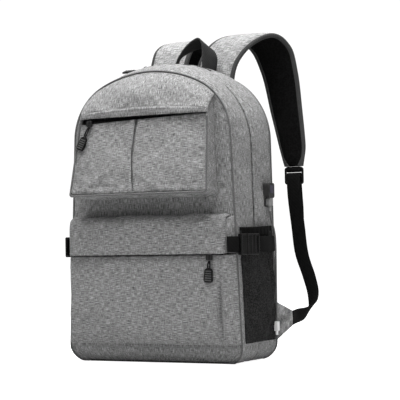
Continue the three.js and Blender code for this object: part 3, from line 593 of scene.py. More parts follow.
# ---- the bag's outline ---------------------------------------------------------------------------
def outline_sizes(y):
    """Radii and centres of the outline at a depth: straight sides, shoulder arcs and a crown arc."""
    share = y / BACK

    def at(key):
        front, middle, back = OUTLINE[key]
        return middle + share * (back - front) / 2 + share * share * ((front + back) / 2 - middle)

    half_base, half_shoulder, radius = at("half_base"), at("half_shoulder"), at("top_radius")
    angle = math.radians(at("top_angle"))
    centre = at("height") - radius
    sine = math.sin(angle)
    shoulder = (half_shoulder - radius * sine) / (1 - sine)
    return {
        "half_base": half_base,
        "half_shoulder": half_shoulder,
        "radius": radius,
        "angle": angle,
        "centre": centre,
        "shoulder": shoulder,
        "sx": (radius - shoulder) * sine,
        "sz": centre + (radius - shoulder) * math.cos(angle),
    }


def side_x(y, z):
    """Half width of the bag's straight side at a depth and height."""
    s = outline_sizes(y)
    return s["half_base"] + (z - CORNER) * (s["half_shoulder"] - s["half_base"]) / (s["sz"] - CORNER)


def arch(y, count, grow=0.0):
    """Points (x, z) of the arch at a depth, evenly spaced from the left end of its base, and normals."""
    s = outline_sizes(y)
    right = []
    for a in np.linspace(-math.pi / 2, 0, 16):
        right.append((s["half_base"] - CORNER + CORNER * math.cos(a), CORNER + CORNER * math.sin(a)))
    for z in np.linspace(CORNER, s["sz"], 40)[1:]:
        right.append((side_x(y, z), z))
    for a in np.linspace(0, math.pi / 2 - s["angle"], 30)[1:]:
        right.append((s["sx"] + s["shoulder"] * math.cos(a), s["sz"] + s["shoulder"] * math.sin(a)))
    for a in np.linspace(math.pi / 2 - s["angle"], math.pi / 2, 24)[1:]:
        right.append((s["radius"] * math.cos(a), s["centre"] + s["radius"] * math.sin(a)))
    right = np.array(right)
    whole = np.vstack([right[:-1] * (-1, 1), right[::-1]])
    total = np.concatenate([[0], np.cumsum(np.linalg.norm(np.diff(whole, axis=0), axis=1))])
    stations = np.linspace(0, total[-1], count)
    points = np.stack([np.interp(stations, total, whole[:, k]) for k in range(2)], axis=1)
    along = np.gradient(points, axis=0)
    along /= np.linalg.norm(along, axis=1, keepdims=True)
    normal = np.stack([-along[:, 1], along[:, 0]], axis=1)
    return points + normal * grow, normal


def half_width(y):
    """A function that gives the half width of the outline at each height."""
    points, _ = arch(y, 801)
    right = points[400:]
    order = np.argsort(right[:, 1])
    zs, xs = right[order, 1], right[order, 0]
    return lambda z: np.interp(z, zs, xs)


def tuck(points):
    """The foot of the bag draws in towards the middle near the floor."""
    share = np.clip(1 - points[..., 2] / 26.0, 0, 1) ** 2
    out = points.copy()
    out[..., 1] *= 1 - 0.17 * share
    return out


def smoothstep(x, low, high):
    """0 below low, 1 above high, and an even turn between them."""
    t = np.clip((x - low) / (high - low), 0, 1)
    return t * t * (3 - 2 * t)


def crown_radius(p):
    """Radius of a pocket's face, from its half width and the rise in its middle."""
    return (p["half"] ** 2 + p["crown"] ** 2) / (2 * p["crown"])


def face_y(p, x, z):
    """Depth of a pocket's crowned and leaning face."""
    radius = crown_radius(p)
    slope = np.clip((p["top"] - z) / (p["top"] - p["bottom"]), 0, 1) * (p["edge_low"] - p["edge"])
    return radius - p["edge"] - p["crown"] - np.sqrt(radius ** 2 - x * x) - slope


# ---- charging lead -------------------------------------------------------------------------------
# The lead's middle line as (x, z), at the port's depth.
LEAD_ROUTE = [
    (159.8, 247.9), (159.8, 242), (160.2, 236), (161.4, 228), (163.6, 219), (166, 210), (167.6, 200),
    (168.3, 188), (168.5, 174), (168.4, 158), (168.2, 140), (168, 120), (168, 100), (168, 80), (168, 62),
]


def build_lead():
    """The charging lead hangs from the plug down to its own connector."""
    route = curve_through([(x, PORT["y"], z) for x, z in LEAD_ROUTE], 40)
    grip = rounded_copy("usb_plug", 0.7, PLUG, "plug_plastic", "lead")
    connector = rounded_copy("lead_connector", 0.6, WHITE, "white_plastic", "lead")
    cord = tube("charging_cord", route, 1.5, LEAD, "lead", "lead_jacket", ["charging_lead"])

    # Strain relief: a taper with a ridge on every second ring.
    rings, relief_length, top = 9, 9.0, route[0][2] + 0.4
    line = [(route[0][0], PORT["y"], top - relief_length * k / (rings - 1)) for k in range(rings)]
    turns = np.linspace(0, 2 * math.pi, 16, endpoint=False)

    def relief_section(share):
        radius = 2.8 - 1.1 * share + 0.25 * (round(share * (rings - 1)) % 2)
        return [(radius * math.cos(a), radius * math.sin(a)) for a in turns]

    relief = sweep("plug_relief", np.array(line), np.tile([1.0, 0, 0], (rings, 1)), relief_section, PLUG)
    place(relief, "lead", "plug_plastic")


# ---- walls, seams and base -----------------------------------------------------------------------
def build_panels():
    """Front and back of the bag: slightly full in the middle, rounded under at the foot."""
    for name, y, material, slot_name, node, swell in [
        ("front_cloth", FRONT, MELANGE_UPRIGHT, "grey_fabric", "front_panel", 4.0),
        ("back_cloth", BACK, DARK_CLOTH, "dark_trim", "back_panel", 2.0),
    ]:
        top = arch(y, 201)[0][:, 1].max() - 0.6
        foot, middle, crown = (0.4, 26, 14), (29, top - 26, 112), (top - 24, top, 22)
        z = np.concatenate([np.linspace(*run) for run in (foot, middle, crown)])
        s = np.linspace(-1, 1, 101)
        points = np.zeros((len(z), len(s), 3))
        points[..., 0] = (half_width(y)(z) - 0.8)[:, None] * s
        fullness = swell * (1 - s ** 2)[None, :] * np.sin(np.pi * np.clip(z / top, 0, 1))[:, None]
        under = 5.0 * np.clip(1 - z / 30, 0, 1)[:, None] ** 2
        points[..., 1] = y + math.copysign(1, y) * (fullness - under - 0.2)
        points[..., 2] = z[:, None]
        points = rumple(points, amount=2.2, scale=46, seed=3,
                        stretch=(1, 1, 1.3), fade=edge_fade(len(z), len(s), width=0.06))
        cloth_sheet(name, tuck(points), material, slot_name, [node])


def gusset_limit(wall, out):
    """Lets the cloth swell above the side pockets; keeps it flat behind them, by the zip and at the port."""
    def limit(moved):
        depth, height = wall[..., 1], wall[..., 2]
        swell = smoothstep(height, POCKET["top"] - 6, POCKET["top"] + 30) * smoothstep(np.abs(depth), 6, 15)
        at_port = np.exp(-((depth - PORT["y"]) / 16) ** 2 - ((height - PORT["level"] + 15) / 40) ** 4)
        room = 0.6 + 4.9 * swell * (1 - at_port)
        stand = np.sum((moved - wall) * out, axis=2)
        return moved - out * np.maximum(stand - room, 0)[..., None]
    return limit


def build_gussets():
    """The cloth walls before and behind the main zip, from one end of the base over the top to the other."""
    rows, cols = 321, 18
    zip_z = arch(0, rows)[0][:, 1]
    # Behind the zip's lower ends the rear wall starts right at the front one.
    closed, open_ = -1.9, 2.2
    rear_edge = closed + (open_ - closed) * smoothstep(zip_z, ZIP_END - 8, ZIP_END + 8)
    for side, near, far, seed in [("front", np.full(rows, FRONT + 0.6), -2.2, 11),
                                  ("rear", rear_edge, BACK - 0.6, 23)]:
        points, wall, out = (np.zeros((rows, cols, 3)) for _ in range(3))
        for j in range(cols):
            share = j / (cols - 1)
            depth = near + (far - near) * share
            base, normal = arch(float(depth.mean()), rows)
            puff = 3.4 * math.sin(math.pi * share) ** 0.8
            wall[:, j] = np.stack([base[:, 0], depth, base[:, 1]], axis=1)
            out[:, j] = np.stack([normal[:, 0], np.zeros(rows), normal[:, 1]], axis=1)
            points[:, j] = wall[:, j] + out[:, j] * puff
        points[..., 2] = np.maximum(points[..., 2], 0.3)
        fade = edge_fade(rows, cols, width=0.2) * smoothstep(points[..., 2], 20, 60)
        points = rumple(points, amount=3.2, scale=58, seed=seed, stretch=(1, 1, 1), fade=fade)
        points = tuck(rumple(points, amount=1.1, scale=17, seed=31, stretch=(1, 2.2, 1), fade=fade))
        points[..., 2] = np.maximum(points[..., 2], 0.3)
        points = cloth_sheet(f"{side}_gusset_cloth", points, MELANGE_UPRIGHT, "grey_fabric",
                             [f"{side}_gusset"], thickness=2.2,
                             sim={"growth": 0.012, "pressure": 0.35, "cap": 3.0, "frames": 12},
                             limit=gusset_limit(tuck(wall), out))
        normals = normals_of(points)
        inner = slice(14, rows - 14)
        for number, column in enumerate([2, cols - 3]):
            stitches(f"{side}_gusset_stitching_{number}", points[inner, column], normals[inner, column],
                     THREAD_DARK, pitch=4.6, slot_name="grey_fabric")


def build_cording():
    """Corded seams at the front and the back of the walls."""
    count = 240
    for side, y in (("front", FRONT), ("rear", BACK)):
        points, _ = arch(y, count, 0.7)
        path = tuck(np.stack([points[:, 0], np.full(count, y - math.copysign(0.2, y)), points[:, 1]], axis=1))
        path[:, 2] = np.maximum(path[:, 2], 1.6)
        # The cording's darker cloth is painted shade for the gap beside the seam.
        tube(f"{side}_cording", path, 1.5, MELANGE_SEAM_SHADE, "bag", "grey_fabric", [f"{side}_piping"])


def build_main_zip():
    """A tape under the two cloth edges and a coil in the gap between them."""
    count, tape_drop, coil_drop = 281, 2.9, 1.7
    ring, normal = arch(0, count)
    above = ring[:, 1] > ZIP_END - 4
    depths = np.linspace(-6.5, 6.5, 7)
    tape = np.zeros((above.sum(), len(depths), 3))
    for j, y in enumerate(depths):
        points, out = arch(y, count)
        tape[:, j, 0] = (points[:, 0] - tape_drop * out[:, 0])[above]
        tape[:, j, 1] = y
        tape[:, j, 2] = (points[:, 1] - tape_drop * out[:, 1])[above]
    cloth_sheet("main_zip_tape", tape, TAPE, "zip_chain", ["main_zipper"], thickness=0.6)
    ring, normal = ring[above], normal[above]
    outward = np.stack([normal[:, 0], np.zeros(len(ring)), normal[:, 1]], axis=1)
    path = np.stack([ring[:, 0], np.zeros(len(ring)), ring[:, 1]], axis=1) - coil_drop * outward
    stitches("main_zip_coil", path, outward, COIL, pitch=1.7, length=4.2, radius=0.55, slot_name="zip_chain",
             across=True)


def build_base():
    """A firm dark panel between the gussets."""
    y = np.linspace(-52.6, 52.6, 24)
    x = np.linspace(-1, 1, 60)
    points = np.zeros((len(y), len(x), 3))
    points[..., 0] = x * np.array([outline_sizes(v)["half_base"] - CORNER - 1 for v in y])[:, None]
    points[..., 1] = y[:, None]
    points[..., 2] = 0.2
    cloth_sheet("base_cloth", points, DARK_CLOTH, "dark_trim", ["base_panel"], thickness=2.5)


# ---- front pockets -------------------------------------------------------------------------------
def arch_height(x):
    """Height of the front panel's arch at a distance from the middle."""
    s = outline_sizes(FRONT)
    size = np.abs(x)
    crown = s["centre"] + np.sqrt(np.maximum(s["radius"] ** 2 - size ** 2, 0))
    shoulder = s["sz"] + np.sqrt(np.maximum(s["shoulder"] ** 2 - (size - s["sx"]) ** 2, 0))
    return np.where(size < s["radius"] * math.sin(s["angle"]), crown, shoulder)


def pocket_zip(name, pocket, x, tape_z, tape_depth, coil_z, coil_depth, length, radius):
    """The tape and coil of a pocket's zip; the depths are behind the pocket's face."""
    y = face_y(pocket, x, pocket["top"])
    tape = np.array([np.stack([x, y + tape_depth, np.full(len(x), z)], axis=1)
                     for z in np.linspace(*tape_z, 4)])
    cloth_sheet(f"{name}_zip_tape", tape, TAPE, "zip_chain", [f"{name}_pocket_zipper"], thickness=0.6)
    line = np.stack([x, y + coil_depth, np.full(len(x), coil_z)], axis=1)
    stitches(f"{name}_zip_coil", line, (0, -1, 0), COIL, pitch=1.7, length=length, radius=radius,
             slot_name="zip_chain", across=True)


def build_upper_face():
    """Face of the upper pocket, with its pleat a little left of the middle and a slanted top edge."""
    p = UPPER
    rows, cols = 60, 121
    s = np.linspace(-1, 1, cols)
    points = np.zeros((rows, cols, 3))
    for i, share in enumerate(np.linspace(0, 1, rows)):
        top = np.interp(s, [-1, 1], [384.5, 392.0])
        z = p["bottom"] + 1 + (top - p["bottom"] - 1) * share
        x = np.interp(z, [p["bottom"], p["top"]], [p["half"], p["half_top"]]) * s
        from_pleat = x - np.interp(share, *PLEAT)
        y = face_y(p, x, z) + 1.2 - 1.6 * np.sin(np.pi * share) * (1 - s ** 2) ** 0.7
        # The pleat is a crease with a raised fold on its left.
        y = y + (3.6 * smoothstep(share, 0.02, 0.25) + 0.8) * np.exp(-(from_pleat / 1.9) ** 2)
        y = y - 1.6 * np.exp(-((from_pleat + 5) / 5.5) ** 2) * (from_pleat < 0)
        points[i] = np.stack([x, y, z], axis=1)
    points = rumple(points, amount=2.0, scale=40, seed=5,
                    stretch=(1, 1, 1.2), fade=edge_fade(rows, cols, width=0.1))
    points = rumple(points, amount=0.8, scale=14, seed=6,
                    stretch=(1, 1, 0.6), fade=edge_fade(rows, cols, width=0.1))
    pins = edge_pins(rows, cols)
    middle = int(np.argmin(np.abs(s + 0.09)))
    pins[:, middle - 1:middle + 2] = True
    points = cloth_sheet("upper_pocket_cloth", points, MELANGE, "grey_fabric", ["upper_pocket_front"],
                         thickness=2.0, sim={"growth": 0.01, "pressure": 0.3, "cap": 2.2, "frames": 12},
                         pins=pins, limit=behind(p, 1.0))
    normals = normals_of(points)
    # A thin dark lining cord laid along the pleat's crease is painted shadow: it draws the crease as a dark
    # line.
    fold_z = np.linspace(p["bottom"] + 8, p["top"] + 3, 24)
    fold_x = np.interp((fold_z - p["bottom"]) / (p["top"] - p["bottom"]), *PLEAT)
    fold = np.stack([fold_x - 0.6, face_y(p, fold_x, fold_z) + 0.4, fold_z], axis=1)
    tube("upper_pocket_pleat_shadow", fold, 0.75, LINING, "bag", "grey_fabric")
    for name, line in [("right", (slice(3, -2), -4)), ("left", (slice(3, -2), 3)),
                       ("bottom", (2, slice(3, -3)))]:
        stitches(f"upper_pocket_stitching_{name}", points[line], normals[line], THREAD_DARK,
                 slot_name="grey_fabric")


def build_upper_wall():
    """Side walls and floor of the upper pocket in one strip, and the corded seam along its front edge."""
    p = UPPER

    def wall_path(half_top, half_low, bottom, radius):
        """Down one side, along the bottom and up the other side."""
        right = [(np.interp(z, [bottom, p["top"]], [half_low, half_top]), z)
                 for z in np.linspace(418, bottom + radius, 34)]
        corner = [(half_low - radius + radius * math.cos(a), bottom + radius + radius * math.sin(a))
                  for a in np.linspace(0, -math.pi / 2, 7)[1:]]
        floor = [(x, bottom) for x in np.linspace(half_low - radius, 0, 28)[1:]]
        run = np.array(right + corner + floor)
        return np.vstack([run, run[::-1][1:] * (-1, 1)])

    def front_depth(x, z):
        """The pocket's face as far up as its zip, then back to the front panel under the hood."""
        if z <= 384:
            return face_y(p, min(abs(x), p["half"] - 1), z) + 1.0
        top = face_y(p, 113.0, p["top"])
        return np.interp(z, [384, 393, 418], [top + 0.5, top + 1, FRONT - 3])

    near = wall_path(p["half_top"] + 1.5, p["half"] + 1.5, p["bottom"] - 1.5, 4)
    sewn = wall_path(p["half_top"] + 0.5, p["half"] - 2, p["bottom"] - 8, 8)
    front_y = np.array([front_depth(x, z) for x, z in near])
    is_side = near[:, 1] > p["bottom"] + 6
    cols = 14
    points = np.zeros((len(near), cols, 3))
    for j in range(cols):
        share = j / (cols - 1)
        dent = 2.0 * math.sin(math.pi * share)
        points[:, j, 0] = near[:, 0] * (1 - share) + sewn[:, 0] * share - np.sign(near[:, 0]) * dent * is_side
        points[:, j, 1] = front_y * (1 - share) + (FRONT - 0.4) * share
        points[:, j, 2] = near[:, 1] * (1 - share) + sewn[:, 1] * share + dent * ~is_side
    points = rumple(points, amount=1.6, scale=22, seed=8,
                    stretch=(1, 1.6, 1), fade=edge_fade(len(near), cols, width=0.2))
    cloth_sheet("upper_pocket_wall", points, MELANGE_UPRIGHT, "grey_fabric", ["upper_pocket_gusset"],
                thickness=1.8, sim={"growth": 0.01, "pressure": 0.0, "cap": 2.0, "frames": 10},
                inside=(0, -80, 330))

    keep = near[:, 1] < 390
    cording = np.stack([near[keep, 0], front_y[keep] - 1.8, near[keep, 1]], axis=1)
    # The cording's darker cloth is painted shade for the gap beside the pocket's seam.
    tube("upper_pocket_cording", cording, 1.5, MELANGE_SEAM_SHADE, "bag", "grey_fabric", ["upper_pocket_piping"])


def build_hood():
    """The hood runs from the arch seam down to a hemmed lip that hangs over the upper zip."""
    p = UPPER
    rows, cols = 44, 121
    half = p["half_top"] + 2.5
    x = np.linspace(-half, half, cols)
    top = np.maximum(arch_height(x) - 1.5, p["lip"] + 14)
    lip = face_y(p, np.clip(x, -120, 120), p["top"]) - 3.0
    edge = smoothstep(np.abs(x), half - 8, half)
    points = np.zeros((rows, cols, 3))
    for i, share in enumerate(np.linspace(0, 1, rows)):
        bow = math.sin(share * math.pi / 2) ** 0.9
        y = (FRONT - 1.0) * (1 - bow) + lip * bow - 4.5 * math.sin(math.pi * share) * (1 - (x / half) ** 2)
        # The hem steps out below a crease, and the ends turn back to the pocket's sides.
        y = y - 1.3 * smoothstep(share, 0.80, 0.84) + 1.4 * np.exp(-((share - 0.81) / 0.018) ** 2)
        y = y + 5 * edge ** 2 * bow
        points[i] = np.stack([x, y, top * (1 - share) + p["lip"] * share], axis=1)
    points = rumple(points, amount=3.0, scale=50, seed=14,
                    stretch=(0.8, 1, 1.4), fade=edge_fade(rows, cols, width=0.15))
    points = rumple(points, amount=1.0, scale=18, seed=15,
                    stretch=(0.5, 1, 1), fade=edge_fade(rows, cols, width=0.1))
    points = cloth_sheet("hood_cloth", points, MELANGE_UPRIGHT, "grey_fabric", ["upper_flap"], thickness=2.4,
                         sim={"growth": 0.012, "pressure": 0.3, "cap": 3.0, "frames": 12},
                         pins=edge_pins(rows, cols, last=rows - int(rows * 0.8)))
    stitch_rows("hood_stitching", points, [int(rows * 0.85), rows - 3], 3)
    normals = normals_of(points)
    stitches("hood_seam_stitching", points[2, 6:-6], normals[2, 6:-6], THREAD_DARK, slot_name="grey_fabric")


def build_upper_pocket():
    """The pocket with the pleat, and the hood over its zip."""
    build_upper_face()
    build_upper_wall()
    half = UPPER["half_top"] - 2
    pocket_zip("upper", UPPER, np.linspace(-half, half, 80), (382.5, 391.5), 6.0, 387.5, 5.0, 4.0, 0.5)
    build_hood()


def lower_wrap():
    """Section of the lower pocket from side seam to side seam: x, and depth before the front panel."""
    side = [(151.2, -64.4), (149.6, -71), (146.4, -78.5), (142.2, -83.8), (138.4, -85.6)]
    face = [(x, float(face_y(LOWER, x, 100.0)) + 1.0) for x in np.linspace(132, 0, 12)]
    right = curve_through([(x, y, 0) for x, y in side + face], 110)[:, :2]
    section = np.vstack([right, (right[::-1] * (-1, 1))[1:]])
    section = resample(np.column_stack([section, np.zeros(len(section))]), 2.6)
    return section[:, 0], FRONT - section[:, 1]


def build_lower_wrap():
    """One cloth wraps the lower pocket; another goes on behind the flap and over the pocket's roof."""
    x, depth = lower_wrap()
    cols = len(x)
    outline_half = half_width(FRONT)
    sideways = np.clip((np.abs(x) - 120) / 30, 0, 1)

    def level(z, proud):
        """The wrap at one height, with its depth scaled and its sides following the body."""
        xs = x + np.sign(x) * sideways * (outline_half(z) - 151.2)
        return np.stack([xs, FRONT - 0.4 - np.maximum(depth * proud, 0), np.full(cols, z)], axis=1)

    zs = np.concatenate([np.linspace(31, 50, 10), np.linspace(54, 171.2, 46)])
    foot = ([31, 36, 48, 80, 171], [0.42, 0.62, 0.86, 0.98, 1.0])
    points = np.array([level(z, np.interp(z, *foot)) for z in zs])
    crease = np.exp(-((points[..., 0] - 129) / 3.6) ** 2) * smoothstep(points[..., 2], 34, 50) \
        * (1 - smoothstep(points[..., 2], 105, 150))
    points[..., 1] += 7.5 * crease
    fade = edge_fade(len(zs), cols, width=0.08)
    points = rumple(points, amount=3.0, scale=70, seed=41, stretch=(1, 1, 0.8), fade=fade)
    points = rumple(points, amount=1.0, scale=20, seed=42, stretch=(1, 1, 0.5), fade=fade)
    points = cloth_sheet("lower_pocket_cloth", points, MELANGE, "grey_fabric",
                         ["lower_pocket_front", "lower_pocket_gusset"], thickness=2.0,
                         sim={"growth": 0.012, "pressure": 0.35, "cap": 2.6, "frames": 12},
                         inside=(0, -50, 120), limit=behind(LOWER))
    stitch_rows("lower_pocket_stitching", points, [1, len(zs) - 3], 6)

    # Height, and share of the pocket's depth, over the edge of the roof.
    roll = [(174.0, 0.97), (195, 0.97), (213, 0.95), (222, 0.88), (227.5, 0.72), (230, 0.45), (231, 0.2),
            (231.4, 0.02)]
    profile = curve_through([(z, proud, 0.0) for z, proud in roll], 34)
    points = np.array([level(z, proud) for z, proud, _ in profile])
    points = rumple(points, amount=1.6, scale=30, seed=55,
                    stretch=(1, 1, 0.8), fade=edge_fade(len(profile), cols, width=0.1))
    cloth_sheet("lower_pocket_roof", points, MELANGE_UPRIGHT, "grey_fabric", inside=(0, -50, 190))


def build_flap():
    """Sewn to the front panel above the pocket, rolled over its roof and hanging over the zip."""
    p = LOWER
    half = p["half"] + 2.0
    x = np.linspace(-half, half, 141)
    crown = FRONT - face_y(p, np.clip(x, -p["half"], p["half"]), 100.0)
    edge = smoothstep(np.abs(x), half - 7, half)
    # Height, share of the pocket's depth, and distance before the pocket's face.
    roll = [(235.0, 0.01, 0), (235.8, 0.2, 0.3), (235.8, 0.5, 0.6), (234.4, 0.76, 1.0), (230.5, 0.93, 1.6),
            (224, 1.0, 2.4), (212, 1.02, 3.0), (200, 1.02, 3.0), (186, 1.02, 3.2), (173.0, 1.02, 3.4)]
    profile = curve_through(roll, 46)
    points = np.array([
        np.stack([x, FRONT - 0.6 - crown * proud - lean + 3.2 * edge ** 2 * proud,
                  z - 3.0 * edge * smoothstep(z, 205, 235)], axis=1)
        for z, proud, lean in profile])
    fade = edge_fade(*points.shape[:2], width=0.12)
    points = rumple(points, amount=2.2, scale=46, seed=51, stretch=(0.7, 1, 1.2), fade=fade)
    wrinkled = smoothstep(points[..., 0], 60, 120)
    points = rumple(points, amount=2.2, scale=20, seed=52,
                    stretch=(0.7, 1, 1.5), fade=fade * (0.3 + wrinkled))
    points = cloth_sheet("lower_flap_cloth", points, MELANGE, "grey_fabric", ["lower_pocket_flap"],
                         thickness=2.0, sim={"growth": 0.015, "pressure": 0.3, "cap": 3.0, "frames": 12},
                         pins=edge_pins(*points.shape[:2], last=6), inside=(0, -50, 190))
    stitch_rows("lower_flap_stitching", points, [2, len(profile) - 3], 4)


def build_lower_pocket():
    """The wide pocket at the bottom, and the flap over its zip."""
    build_lower_wrap()
    build_flap()
    half = LOWER["half"] - 4
    pocket_zip("lower", LOWER, np.linspace(-half, half, 90), (163, 175), 2.6, 172.4, 1.6, 3.0, 0.45)


# ---- side pockets and straps ---------------------------------------------------------------------
def pocket_bulge(y, z):
    """How far a side pocket's net stands out from its foot."""
    p = POCKET
    middle = (p["front"] + p["back"]) / 2
    across = np.maximum(np.cos((math.pi / 2) * (y - middle) / ((p["back"] - p["front"]) / 2)), 0)
    rise = np.minimum((z - p["bottom"]) / 45, 1)
    up = np.sin(rise * math.pi / 2) * (1 - 0.4 * smoothstep(z, 120, 180))
    return p["bulge"] * across ** 0.7 * up


def taper(stand, at_edge, width):
    """Brings a row of distances down to at_edge over width points at both ends."""
    count = np.arange(len(stand))
    edge = np.minimum(count, count[::-1]) / width
    return np.where(edge < 1, at_edge + (stand - at_edge) * edge, stand)


def build_side_pocket(name, side):
    """Stretch net with a gathered elastic hem."""
    p = POCKET
    rows, cols = 58, 50
    y = np.linspace(p["front"] - 1.5, p["back"] + 1.5, cols)
    z = np.linspace(p["bottom"] - 2, p["top"] - 6, rows)
    points = np.zeros((rows, cols, 3))
    for i in range(rows):
        wall = np.array([side_x(v, z[i]) for v in y])
        stand = taper(2.6 + pocket_bulge(np.clip(y, p["front"], p["back"]), z[i]), 2.2, 4)
        fold = np.exp(-((y - NET_FOLD) / 4.5) ** 2)
        stand = stand - 5.0 * fold * smoothstep(z[i], p["bottom"], p["bottom"] + 30)
        points[i] = np.stack([side * (wall + stand), y, np.full(cols, z[i])], axis=1)
    fade = edge_fade(rows, cols, width=0.1) * (1 - smoothstep(points[..., 2], 150, 185))
    points = rumple(points, amount=2.4, scale=26, seed=61 + side, stretch=(1, 1.5, 0.7), fade=fade)
    cloth_sheet(f"side_net_{name}", points, NET, "net", [f"side_pocket_{name}"], thickness=1.0,
                sim={"growth": 0.01, "pressure": 0.2, "cap": 2.0, "frames": 10})

    rows, cols = 8, 90
    y = np.linspace(p["front"] - 2, p["back"] + 2, cols)
    hem = np.zeros((rows, cols, 3))
    for i, level in enumerate(np.linspace(p["top"] - 14, p["top"] + 1, rows)):
        wall = np.array([side_x(v, level) for v in y])
        stand = 3.6 + pocket_bulge(np.clip(y, p["front"], p["back"]), level)
        gather = 0.5 * np.sin(y / 1.9) * math.sin(math.pi * i / (rows - 1))
        stand = taper(stand - 3.0 * np.exp(-((y - PORT["y"]) / 9) ** 2), 1.6, 6) + gather
        z = np.full(cols, level) + 1.2 * np.sin((y - 3) / 34)
        hem[i] = np.stack([side * (wall + stand), y, z], axis=1)
    cloth_sheet(f"side_hem_{name}", hem, WEBBING, "net", thickness=1.6)


def build_side_strap(name, side):
    """Webbing from the front, both halves of the buckle, and webbing round to the rear seam."""
    sine, cosine = math.sin(SIDE_STRAP["angle"]), math.cos(SIDE_STRAP["angle"])

    def along(distance, out=0.0):
        return (side * (SIDE_STRAP["x"] + distance * sine + out * cosine),
                SIDE_STRAP["y"] + distance * cosine - out * sine, STRAP_LEVEL)

    up = (0, 0, WEB_HALF)
    front = [(along(-6, -3.2), up), (along(0, -0.8), up), (along(8), up), (along(17.5), up)]
    strap = ribbon(f"front_webbing_{name}", front, WEB_THICK, 14, WEBBING)
    place(strap, "bag", "webbing", f"front_strap_{name}")
    rounded_copy(f"buckle_male_{name}", 0.8, BUCKLE, "buckle_plastic", f"{name}_buckle")
    rounded_copy(f"buckle_female_{name}", 1.3, BUCKLE, "buckle_plastic", "bag")

    # Raised bars: a round front bar on the male half, and a ladder of bars and rails on the female half.
    reach = 15.2
    for half, body, bars, rails in (("male", f"{name}_buckle", [19.6], (19.6, 30.4)),
                                    ("female", "bag", [33.2, 41.0, 48.8, 57.2], (33.2, 57.2))):
        for number, distance in enumerate(bars):
            x, y, z = along(distance, 3.2)
            path = curve_through([(x, y, z - reach), (x, y, z), (x, y, z + reach)], 9)
            tube(f"buckle_{half}_bar_{name}_{number}", path, 1.5, BUCKLE, body, "buckle_plastic")
        for number, rise in enumerate((-reach, reach)):
            path = [np.array(along(distance, 3.0)) + (0, 0, rise) for distance in np.linspace(*rails, 7)]
            tube(f"buckle_{half}_rail_{name}_{number}", path, 1.3, BUCKLE, body, "buckle_plastic")

    start = along(59.1)
    x, y = abs(start[0]), start[1]
    route = [(x, y), (x + 1.8, y + 16), (x + 0.6, y + 38), (164, 40), (158.6, 60)]
    stations = [((side * u, v, STRAP_LEVEL), up) for u, v in route]
    strap = ribbon(f"rear_webbing_{name}", stations, WEB_THICK, 40, WEBBING)
    place(strap, "bag", "webbing", f"rear_strap_{name}")


# ---- zip sliders and pulls -----------------------------------------------------------------------
# Where each slider stands, how its pull is turned, and how long the pull's cord is.
MAIN_SLIDER = {"angle": math.radians(-15), "turn": (-math.radians(15), 0.0, math.radians(20)), "neck": 13}
UPPER_SLIDER = {"x": -95, "level": 385, "turn": (0.0, math.radians(22), 0.0), "neck": 16}
LOWER_SLIDER = {"x": 114, "level": 167.5, "turn": (0.0, math.radians(4), 0.0), "neck": 9}
SLIDER_LENGTH = 10.0
TAG_HALF, TAG_LENGTH, TAG_THICK = 8.0, 23.0, 2.4


def slider_frames():
    """The place of each zip slider: local -Y points out of the cloth and -Z towards the pull."""
    s = outline_sizes(0)
    radius = s["radius"] + 0.5
    angle = MAIN_SLIDER["angle"]
    outward = Vector((math.sin(angle), 0, math.cos(angle)))
    back = Vector((math.cos(angle), 0, -math.sin(angle)))
    across = (-outward).cross(back)
    main = Matrix((across, -outward, back)).transposed().to_4x4()
    main.translation = Vector((radius * outward.x, 0, s["centre"] + radius * outward.z))
    frames = {"main": (main, MAIN_SLIDER)}
    for key, pocket, place_at in [("upper_pocket", UPPER, UPPER_SLIDER),
                                  ("lower_pocket", LOWER, LOWER_SLIDER)]:
        radius = crown_radius(pocket) + 0.6
        turn = math.asin(place_at["x"] / radius)
        centre = crown_radius(pocket) - pocket["edge"] - pocket["crown"]
        tilt = -math.atan2(pocket["edge_low"] - pocket["edge"], pocket["top"] - pocket["bottom"])
        matrix = Matrix.Rotation(turn, 4, "Z") @ Matrix.Rotation(tilt, 4, "X")
        matrix.translation = Vector((place_at["x"], centre - radius * math.cos(turn), place_at["level"]))
        frames[key] = (matrix, place_at)
    return frames


def rounded_plate(outline, thickness, bevel):
    """A moulded plate: an outline in X and Z with depth from -thickness to 0 in Y, and rounded edges."""
    bm = bmesh.new()
    near = [bm.verts.new((x, -thickness, z)) for x, z in outline]
    far = [bm.verts.new((x, 0, z)) for x, z in outline]
    bm.faces.new(near)
    bm.faces.new(far[::-1])
    count = len(outline)
    for k in range(count):
        bm.faces.new((near[k], far[k], far[(k + 1) % count], near[(k + 1) % count]))
    bmesh.ops.recalc_face_normals(bm, faces=bm.faces)
    rim = [e for e in bm.edges if abs(e.verts[0].co.y - e.verts[1].co.y) < 1e-6]
    bmesh.ops.bevel(bm, geom=rim, offset=bevel, segments=3, affect="EDGES", profile=0.5)
    return bm


def mesh_of(name, bm, transform):
    """A mesh in metres from a bmesh in millimetres."""
    bm.transform(transform)
    mesh = bpy.data.meshes.new(name)
    bm.to_mesh(mesh)
    bm.free()
    return mesh


